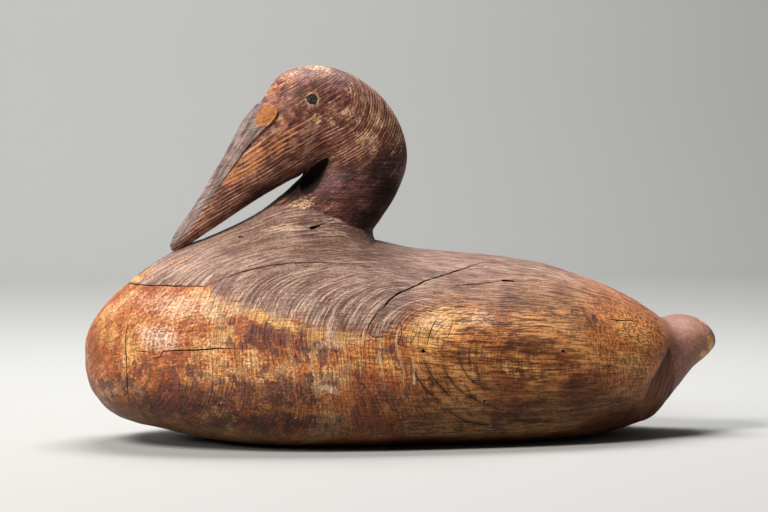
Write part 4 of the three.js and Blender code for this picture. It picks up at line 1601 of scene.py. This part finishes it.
def ring_lines(mat, g):
    """How much a place is rubbed pale on a raised line, and how dark it is in an opened one."""
    uneven = mat.plus(g.rings, mat.times(g.cloud, UNEVEN))
    raised = mat.lines(mat.plus(uneven, WIDE_GAP / 2), WIDE_GAP, 60.0)
    raised = mat.times(raised, mat.between(g.thread, 0.40, 0.54))
    tick = mat.times(mat.lines(g.rings, TICK_GAP, 2.5), mat.between(g.band, 0.38, 0.58, 0.2, 1.0))
    tick = mat.times(tick, mat.between(g.behind, 0.3, 1.0, 0.40, 0.16))
    contour = mat.times(mat.lines(uneven, WIDE_GAP, 22.0), mat.between(g.cloud, 0.42, 0.56, 0.2, 1.0))
    contour = mat.times(contour, mat.times(mat.number("checks"), 0.8))
    crazing = mat.times(g.crazed, mat.times(mat.rest(g.behind), 0.32))
    opening = mat.times(mat.number("opening"), mat.between(g.fleck, 0.38, 0.58, 0.15, 0.7))
    return raised, mat.most(tick, contour, crazing, opening)


def lined_wood(mat, g, wood, raised, opened):
    """Bare wood with its light and dark fibres, its pale raised lines and its dark opened ones."""
    low = mat.between(g.behind, 0.0, 1.0, 0.62, 0.47)
    high = mat.between(g.behind, 0.0, 1.0, 1.34, 1.43)
    wood = mat.scaled(wood, mat.between(g.light, 0.0, 1.0, low, high))
    wood = mat.blend(mat.times(raised, mat.times(mat.number("scored"), 0.8)), wood, SCORED_WOOD)
    return mat.scaled(wood, mat.maths("SUBTRACT", 1.06, opened))


# Dark stains, and painted shade low on the hull that grows darker towards the bottom.
def stained_and_shaded(mat, g, wood):
    stain_and_shade_colour = mat.blend(0.25, mat.scaled(wood, 0.24), STAIN_AND_SHADE_BLACK)
    noises = (g.cloud, 0.6), (g.strand, 0.7), (g.fibre, 0.5)
    return mat.patched(wood, "stains_and_shade", noises, (0.0, 1.05), stain_and_shade_colour, 0.9)


# %% [markdown]
# ## What is left of the paint
#
# On top lies the old mauve brown paint. Its edge isn't a line but a comb of streaks: the noises move
# the height at which it ends up and down by a centimetre or two, sharply in front, in long soft
# streaks behind. It also went first from the raised lines, and to bare wood where it chipped.

# %% The paint of the hull
MAUVE_PAINT = [
    (0.0, (0.150, 0.076, 0.060)), (0.5, (0.230, 0.135, 0.106)), (1.0, (0.33, 0.215, 0.172)),
]
RUMP_PAINT = (0.58, 0.225, 0.110)
TAIL_PAINT = (0.29, 0.142, 0.115)
RUBBED_PAINT = (0.60, 0.41, 0.29)
CHIPPED = (0.70, 0.36, 0.12)


def paint_cover(mat, g):
    """How much of the paint is left, and where it is chipped."""
    line = mat.number("paint")
    worn = mat.stirred(line, (g.thread, 24.0), (g.fleck, 26.0), (g.cloud, 22.0))
    wash = mat.stirred(line, (g.strand, 40.0), (g.fibre, 34.0))
    edge = mat.faded(mat.between(g.behind, 0.2, 0.9), worn, wash)
    soft = mat.between(g.behind, 0.4, 1.0, 4.5, 16.0)
    covered = mat.between(edge, mat.times(soft, -1.0), soft)
    covered = mat.times(covered, mat.between(g.behind, 0.5, 1.0, 0.95, 0.84))
    chips = mat.between(mat.stirred(mat.number("chips"), (g.fleck, 2.4)), 0.35, 0.6)
    return mat.times(covered, mat.rest(chips)), chips


def rubbed_lines(mat, g, raised):
    """Where the paint is rubbed off: on fine ring lines, on the raised ones and on scraped places."""
    rubbed = mat.lines(mat.plus(g.rings, mat.times(g.cloud, 4.5)), 1.7, 7.0)
    rubbed = mat.times(rubbed, mat.between(g.thread, 0.36, 0.58))
    rubbed = mat.most(mat.times(rubbed, 0.66), raised)
    rubbed = mat.times(rubbed, mat.between(g.z, 102, 124, 0.82, 0.42))
    rubbed = mat.times(rubbed, mat.between(g.behind, 0.5, 1.0, 1.0, 0.3))
    rubbed = mat.times(rubbed, mat.between(g.y, -20, 30, 1.0, 0.5))
    scraped = mat.stirred(mat.number("scraped"), (g.thread, 1.6), (g.fibre, 1.2))
    rubbed = mat.most(rubbed, mat.between(scraped, 0.45, 1.0, 0.0, 0.85))
    return mat.times(rubbed, mat.rest(g.tail))


def old_paint(mat, g, rubbed):
    shade = mat.mixed((g.mottle, 0.4), (g.thread, 0.35), (g.cloud, 0.25))
    paint = mat.ramp(mat.between(shade, 0.40, 0.62), MAUVE_PAINT)
    paint = mat.scaled(paint, mat.between(g.behind, 0.35, 1.0, 1.07, 1.22))
    spine = mat.times(mat.number("spine"), g.behind)
    paint = mat.scaled(paint, mat.between(spine, 0.0, 1.0, 1.0, 0.7))
    paint = mat.patched(paint, "rump", [(g.cloud, 0.8)], (0.2, 0.9), RUMP_PAINT, 0.85)
    paint = mat.blend(g.tail, paint, TAIL_PAINT)
    paint = mat.blend(rubbed, paint, RUBBED_PAINT)
    low = mat.between(g.tail, 0.0, 1.0, mat.between(g.behind, 0.4, 1.0, 0.66, 0.50), 0.90)
    high = mat.between(g.tail, 0.0, 1.0, 1.30, 1.08)
    return mat.scaled(paint, mat.between(g.light, 0.0, 1.0, low, high))


# %% [markdown]
# ## The hull's finish
#
# Now the layers go on: wood, its lines, stains and painted shade, paint, then the bare stern
# behind the ridge, whose grain stands upright, with a painted highlight on the ridge and painted
# shade in the valley, and last the painted shade in the cracks. Roughness and height come from the
# same noises, so what looks like a fibre also catches the light like one.

# %% All layers of the hull
STERN_WAY = (0.3, 0.95)  # the direction of the grain on the stern, in the side view
STERN_DARK, STERN_RED = (0.095, 0.028, 0.015), (0.240, 0.082, 0.038)
# the painted highlight on the stern's ridge
RIDGE_HIGHLIGHT_RED = (0.54, 0.200, 0.080)
HOLLOW_SHADE_BLACK = (0.012, 0.006, 0.004)
HOLLOW_SHADE_DEPTH = (0.05, 0.9)  # painted shade in a crack or hollow grows between these depths


def stern_and_ridge(mat, g, colour):
    upright = mat.clouds(mat.leaning(g.place, STERN_WAY, 16, 1.6), 1.0, 2.5)
    red = mat.blend(mat.between(upright, 0.4, 0.62), STERN_DARK, STERN_RED)
    # painted shade in the valley behind the ridge
    red = mat.scaled(red, mat.between(mat.number("valley"), 0.0, 1.0, 1.0, 0.38))
    colour = mat.patched(colour, "stern", [(g.cloud, 0.5)], (0.1, 0.7), red, 0.94)
    # a painted highlight on the ridge
    noises = (g.fleck, 1.2), (g.cloud, 1.6)
    return mat.patched(colour, "ridge", noises, (0.3, 1.0), RIDGE_HIGHLIGHT_RED, 0.62)


def hull_colours(mat, place, rings):
    """Colour, roughness and height of the hull's surface, for both blocks."""
    g = HullGrain(mat, place, rings)
    raised, opened = ring_lines(mat, g)
    wood = stained_and_shaded(mat, g, lined_wood(mat, g, bare_wood(mat, g), raised, opened))
    covered, chips = paint_cover(mat, g)
    wood = mat.blend(mat.times(chips, 0.8), wood, CHIPPED)
    rubbed = rubbed_lines(mat, g, raised)
    colour = mat.blend(covered, wood, old_paint(mat, g, rubbed))
    colour = stern_and_ridge(mat, g, colour)
    # painted shade in cracks, pits and the seam: darker the deeper a point lies below the uncut skin
    hollow_shade = mat.between(mat.number("crack"), *HOLLOW_SHADE_DEPTH)
    colour = mat.blend(hollow_shade, colour, HOLLOW_SHADE_BLACK)
    roughness = mat.mixed((g.fleck, 0.3), (covered, 0.16), (mat.number("stern"), 0.3))
    roughness = mat.most(mat.plus(roughness, 0.24), hollow_shade)
    height = mat.mixed((g.fibre, 0.7), (g.thread, 0.4), (opened, -0.7), (rubbed, 0.4), (g.fleck, 0.5))
    height = mat.times(height, mat.between(g.tail, 0.0, 1.0, 1.0, 0.25))
    return colour, roughness, height


wood = Finish("weathered_wood")
weathered_wood = wood.finish(*hull_colours(wood, wood.place(), wood.number("rings")), 0.9, 1.0)
weathered_wood.diffuse_color = (0.44, 0.24, 0.11, 1)
print("the hull's finish:", len(wood.nodes), "nodes")

# %% [markdown]
# ## Worn paint on the head
#
# The head's block is other wood with a strong straight grain. Its maroon paint is gone from every
# raised ring, and whole patches of the crown are rubbed down to pale wood. The mask of the ring
# lines uses the same number as the relief did, so colour and ridge fall together. On the throat the
# paint is thicker and more purple, and lies in level wrinkles; its colours are darker still, as
# painted shade on the neck.

# %% The head's noises and its paint
BILL_WAY = (-0.54, -0.84)  # down the bill, in the side view
MAROON_PAINT = [
    (0.0, (0.078, 0.023, 0.016)), (0.5, (0.172, 0.062, 0.044)), (1.0, (0.29, 0.130, 0.095)),
]
# the throat's purple paint, darkened further as painted shade on the neck
PURPLE_PAINT_AND_SHADE = [
    (0.0, (0.036, 0.010, 0.008)), (0.5, (0.084, 0.025, 0.021)), (1.0, (0.155, 0.058, 0.050)),
]
paint = Finish("worn_paint")
place = paint.place()
rings = paint.number("rings")
slab_colour, _, slab_height = hull_colours(paint, place, paint.number("hull_rings"))
lined, throat = paint.number("lined"), paint.number("throat")
streak = paint.clouds(paint.along_grain(place, rings, 2.6, 20), 1.0, 3.0)
mottle = paint.clouds(place, 12.0, 4.0, 0.65)
fleck = paint.clouds(place, 1.5, 3.0, 0.65)
slanted = paint.clouds(paint.leaning(place, HEAD_GRAIN, 12, 0.9))
fine = paint.faded(lined, slanted, paint.clouds(paint.along_grain(place, rings, 0.8, 12)))
down_bill = paint.clouds(paint.leaning(place, BILL_WAY, 26, 1.3), 1.0, 3.0)
wrinkle = paint.clouds(paint.stretched(place, (16, 16, 1)))
tone = paint.mixed((mottle, 0.5), (fine, 0.5))
maroon = paint.ramp(paint.between(tone, 0.40, 0.62), MAROON_PAINT)
tone = paint.mixed((mottle, 0.5), (wrinkle, 0.5))
purple_and_shade = paint.ramp(paint.between(tone, 0.40, 0.62), PURPLE_PAINT_AND_SHADE)
colour = paint.blend(throat, maroon, purple_and_shade)
print("the head's paint is begun:", len(paint.nodes), "nodes")

# %% [markdown]
# ## Ridges, bare patches and the bill
#
# Over the paint go the rubbed ridges, the pale patches and the orange wood of the bill. The plate on
# the bill kept a slate grey paint with streaks down its length, and its lobe is worn to orange. A
# pale ring of bare wood lies round each eye, where the drill broke the paint.

# %% Ridges, bare patches and the bill
RIDGE_TAN, RIDGE_PALE = (0.44, 0.17, 0.060), (0.64, 0.37, 0.19)
BARE_BROWN, BARE_PALE = (0.42, 0.21, 0.085), (0.72, 0.47, 0.27)
SLATE_DARK, SLATE_PALE = (0.100, 0.068, 0.062), (0.25, 0.185, 0.160)
BILL_ORANGE = (0.43, 0.150, 0.045)
LOBE_ORANGE = (0.36, 0.120, 0.022)
LID_PALE = (0.62, 0.42, 0.27)
ridge = paint.times(paint.lines(rings, HEAD_RING_GAP, 4.0), paint.between(streak, 0.40, 0.58, 0.1, 1.0))
ridge = paint.times(paint.times(ridge, lined), paint.between(throat, 0.0, 1.0, 1.0, 0.1))
rubbed = paint.blend(paint.between(mottle, 0.42, 0.58), RIDGE_TAN, RIDGE_PALE)
colour = paint.blend(paint.times(ridge, 0.85), colour, rubbed)
tan = paint.blend(paint.between(fine, 0.4, 0.6), BARE_BROWN, BARE_PALE)
noises = (streak, 1.6), (fleck, 1.2), (mottle, 1.2)
colour = paint.patched(colour, "bare", noises, (0.3, 0.9), tan, 0.85)
colour = paint.patched(colour, "orange", [(fine, 1.0), (mottle, 2.2)], (0.3, 0.9), BILL_ORANGE)
plate_share = paint.times(paint.number("culmen"), paint.between(mottle, 0.38, 0.62, 0.82, 0.97))
slate = paint.blend(paint.between(down_bill, 0.38, 0.62), SLATE_DARK, SLATE_PALE)
colour = paint.blend(plate_share, colour, slate)
colour = paint.patched(colour, "lobe", [(down_bill, 1.0)], (0.3, 0.9), LOBE_ORANGE, 0.92)
grain = paint.between(paint.mixed((fine, 0.5), (fleck, 0.5)), 0.38, 0.62, 0.62, 1.4)
colour = paint.scaled(colour, grain)
lid = paint.times(paint.number("lid"), paint.between(fleck, 0.44, 0.6))
colour = paint.blend(paint.times(lid, 0.8), colour, LID_PALE)
print("with its bare patches:", len(paint.nodes), "nodes")

# %% [markdown]
# ## Painted shade, and the way into the shoulders
#
# Painted shade, in the throat's crease, under the bill, on the nape and in cracks and hollows, is
# dark and also fully rough, since a glossy hole looks wet. At the foot of the neck the head's finish
# passes into the hull's, which this material has carried along all the time.

# %% The head's finish
# painted shade in the crease between bill and throat, under the bill and on the nape
painted_shade = paint.number("shadowed")
colour = paint.scaled(colour, paint.between(painted_shade, 0.0, 1.0, 1.0, 0.18))
# painted shade in cracks, pits, the seam and the throat's hollows: darker the deeper below the uncut skins
hollow_shade = paint.between(paint.number("crack"), *HOLLOW_SHADE_DEPTH)
colour = paint.blend(hollow_shade, colour, HOLLOW_SHADE_BLACK)
on_head = paint.number("head")
colour = paint.blend(on_head, slab_colour, colour)
roughness = paint.most(paint.plus(paint.times(fine, 0.3), 0.38), hollow_shade, painted_shade)
head_height = paint.mixed((fine, 0.6), (ridge, 0.6), (fleck, 0.3))
height = paint.faded(on_head, slab_height, head_height)
worn_paint = paint.finish(colour, roughness, height, 0.9, 0.9)
worn_paint.diffuse_color = (0.26, 0.15, 0.11, 1)
print("the head's finish:", len(paint.nodes), "nodes")

# %% [markdown]
# ## The eye's metal
#
# The eye is a dull tack that was painted once, and dirt stays in its turned groove. A fine noise
# gives both the dark of the dirt and its dull surface; a second material for the dirt isn't needed.

# %% The colours of the eye
TACK_COLOURS = [
    (0.0, (0.010, 0.008, 0.006)), (0.5, (0.032, 0.028, 0.022)), (1.0, (0.11, 0.095, 0.072)),
]
tack = Finish("eye_tack")
dirt = tack.clouds(tack.place(), 1.1, 3.0, 0.65)
colour = tack.ramp(tack.between(dirt, 0.3, 0.7), TACK_COLOURS)
tack.shader.inputs["Metallic"].default_value = 0.5
eye_tack = tack.finish(colour, tack.between(dirt, 0.3, 0.7, 0.65, 0.4), dirt, 0.4, 0.15)
eye_tack.diffuse_color = (0.16, 0.15, 0.12, 1)
print("the eye's finish:", len(tack.nodes), "nodes")

# %% [markdown]
#
# A smooth piece with a few crisp edges is shaded smooth, and edges steeper than a limit are marked
# sharp. Then each piece takes its finish, rides on the one body of this part, and says which packed
# solid it stands for.

# %% Finish the pieces
CRISP = math.radians(50)


def shade(piece):
    piece.data.shade_smooth()
    piece.data.set_sharp_from_angle(angle=CRISP)


def stand_for(piece, material, node):
    shade(piece)
    piece.data.materials.clear()
    piece.data.materials.append(material)
    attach(piece, "root")
    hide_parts(node)
    print(piece.name, "stands for", node, "with", len(piece.data.polygons), "faces")


stand_for(body, weathered_wood, "body")
stand_for(head, worn_paint, "head_and_neck")
stand_for(eyes["eye_left"], eye_tack, "eye_left")
stand_for(eyes["eye_right"], eye_tack, "eye_right")

# %% [markdown]
# ## A plain place to look at it
#
# A pale sheet that rises behind the bird in one curve leaves no horizon line, as a floor and a wall
# would.

# %% Floor and backdrop
FLOOR_HALF_WIDTH = 5.0
FLOOR_FRONT = -4.0
SWEEP_START = 2.6
SWEEP_RADIUS = 1.0
BACKDROP_HEIGHT = 3.0
SWEEP_STEPS = 24
PALE_GREY = (0.43, 0.43, 0.42)
sweep = [(FLOOR_FRONT, 0.0), (SWEEP_START, 0.0)]
for k in range(1, SWEEP_STEPS + 1):
    turn = math.pi / 2 * k / SWEEP_STEPS
    sweep.append((SWEEP_START + SWEEP_RADIUS * math.sin(turn), SWEEP_RADIUS * (1 - math.cos(turn))))
sweep.append((SWEEP_START + SWEEP_RADIUS, BACKDROP_HEIGHT))
corners = [(side * FLOOR_HALF_WIDTH, y, z) for y, z in sweep for side in (-1, 1)]
faces = [(2 * k, 2 * k + 1, 2 * k + 3, 2 * k + 2) for k in range(len(sweep) - 1)]
mesh = bpy.data.meshes.new("pale_sweep")
mesh.from_pydata(corners, [], faces)
mesh.shade_smooth()
pale_sweep = bpy.data.objects.new("pale_sweep", mesh)
bpy.context.scene.collection.objects.link(pale_sweep)
paper = Finish("pale_paper")
paper.shader.inputs["Base Color"].default_value = (*PALE_GREY, 1)
paper.shader.inputs["Roughness"].default_value = 0.9
mesh.materials.append(paper.material)
pale_sweep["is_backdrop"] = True
print("the sweep:", len(faces), "faces")

# %% [markdown]
# ## Soft light
#
# Wood shows its relief only when light rakes across it. So the main light is a window high on the
# left, not too large, with a small low one beside it for the breast. A wide one above and behind
# lifts the back, and the last lights only the backdrop. The world adds a trace to the shadows.

# %% Lights
AIM = (-0.03, 0.0, 0.11)
WORLD_LIGHT = 0.07


def soft_light(name, place, aim, width, height, watts, colour=(1, 1, 1)):
    lamp = bpy.data.lights.new(name, "AREA")
    lamp.shape = "RECTANGLE"
    lamp.size = width
    lamp.size_y = height
    lamp.energy = watts
    lamp.color = colour
    holder = bpy.data.objects.new(name, lamp)
    holder.location = place
    holder.rotation_euler = (Vector(aim) - Vector(place)).to_track_quat("-Z", "Y").to_euler()
    bpy.context.scene.collection.objects.link(holder)
    return holder


soft_light("window", (-1.7, -1.05, 2.1), AIM, 0.7, 1.2, 88, (1.0, 0.97, 0.93))
soft_light("low_window", (-2.3, -0.85, 0.9), AIM, 0.4, 0.4, 13, (1.0, 0.97, 0.95))
soft_light("ceiling", (0.1, 0.6, 1.6), AIM, 1.2, 0.7, 36)
soft_light("backdrop", (0.0, 1.9, 2.3), (0.0, 3.6, 0.7), 3.0, 0.4, 60)
world = bpy.data.worlds.new("studio")
world.use_nodes = True
world.node_tree.nodes["Background"].inputs["Color"].default_value = (1.0, 1.0, 1.0, 1)
world.node_tree.nodes["Background"].inputs["Strength"].default_value = WORLD_LIGHT
bpy.context.scene.world = world
print("lights:", len(bpy.data.lights))

# %% [markdown]
# ## The camera
#
# The photographer stood well back with a long lens, a little above the back of the bird and turned
# a few degrees towards its breast. Lens and place go together: a shorter lens from nearer by would
# give the same size, but a larger head and a smaller tail. These numbers were fitted to both ends.

# %% Camera
LENS = 117.79
CAMERA_PLACE = (-0.39053, -1.75967, 0.19)
LOOK_AT = (-0.0165, 0, 0.1295)
camera_data = bpy.data.cameras.new("camera")
camera_data.lens = LENS
camera_data.sensor_width = 36
camera = bpy.data.objects.new("camera", camera_data)
camera.location = CAMERA_PLACE
camera.rotation_euler = (Vector(LOOK_AT) - camera.location).to_track_quat("-Z", "Y").to_euler()
bpy.context.scene.collection.objects.link(camera)
bpy.context.scene.camera = camera
bpy.context.scene.view_settings.view_transform = "Standard"
away = round((Vector(LOOK_AT) - camera.location).length, 2)
print("the camera is", away, "m away")

# %% [markdown]
# ## Sizes, and the end
#
# The last step measures the box of the finished bird and prints it.

# %% Sizes, and the end
bpy.context.view_layer.update()
low, high = [list(corner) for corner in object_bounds()]
print("visual box:", [round(v, 4) for v in low], [round(v, 4) for v in high])
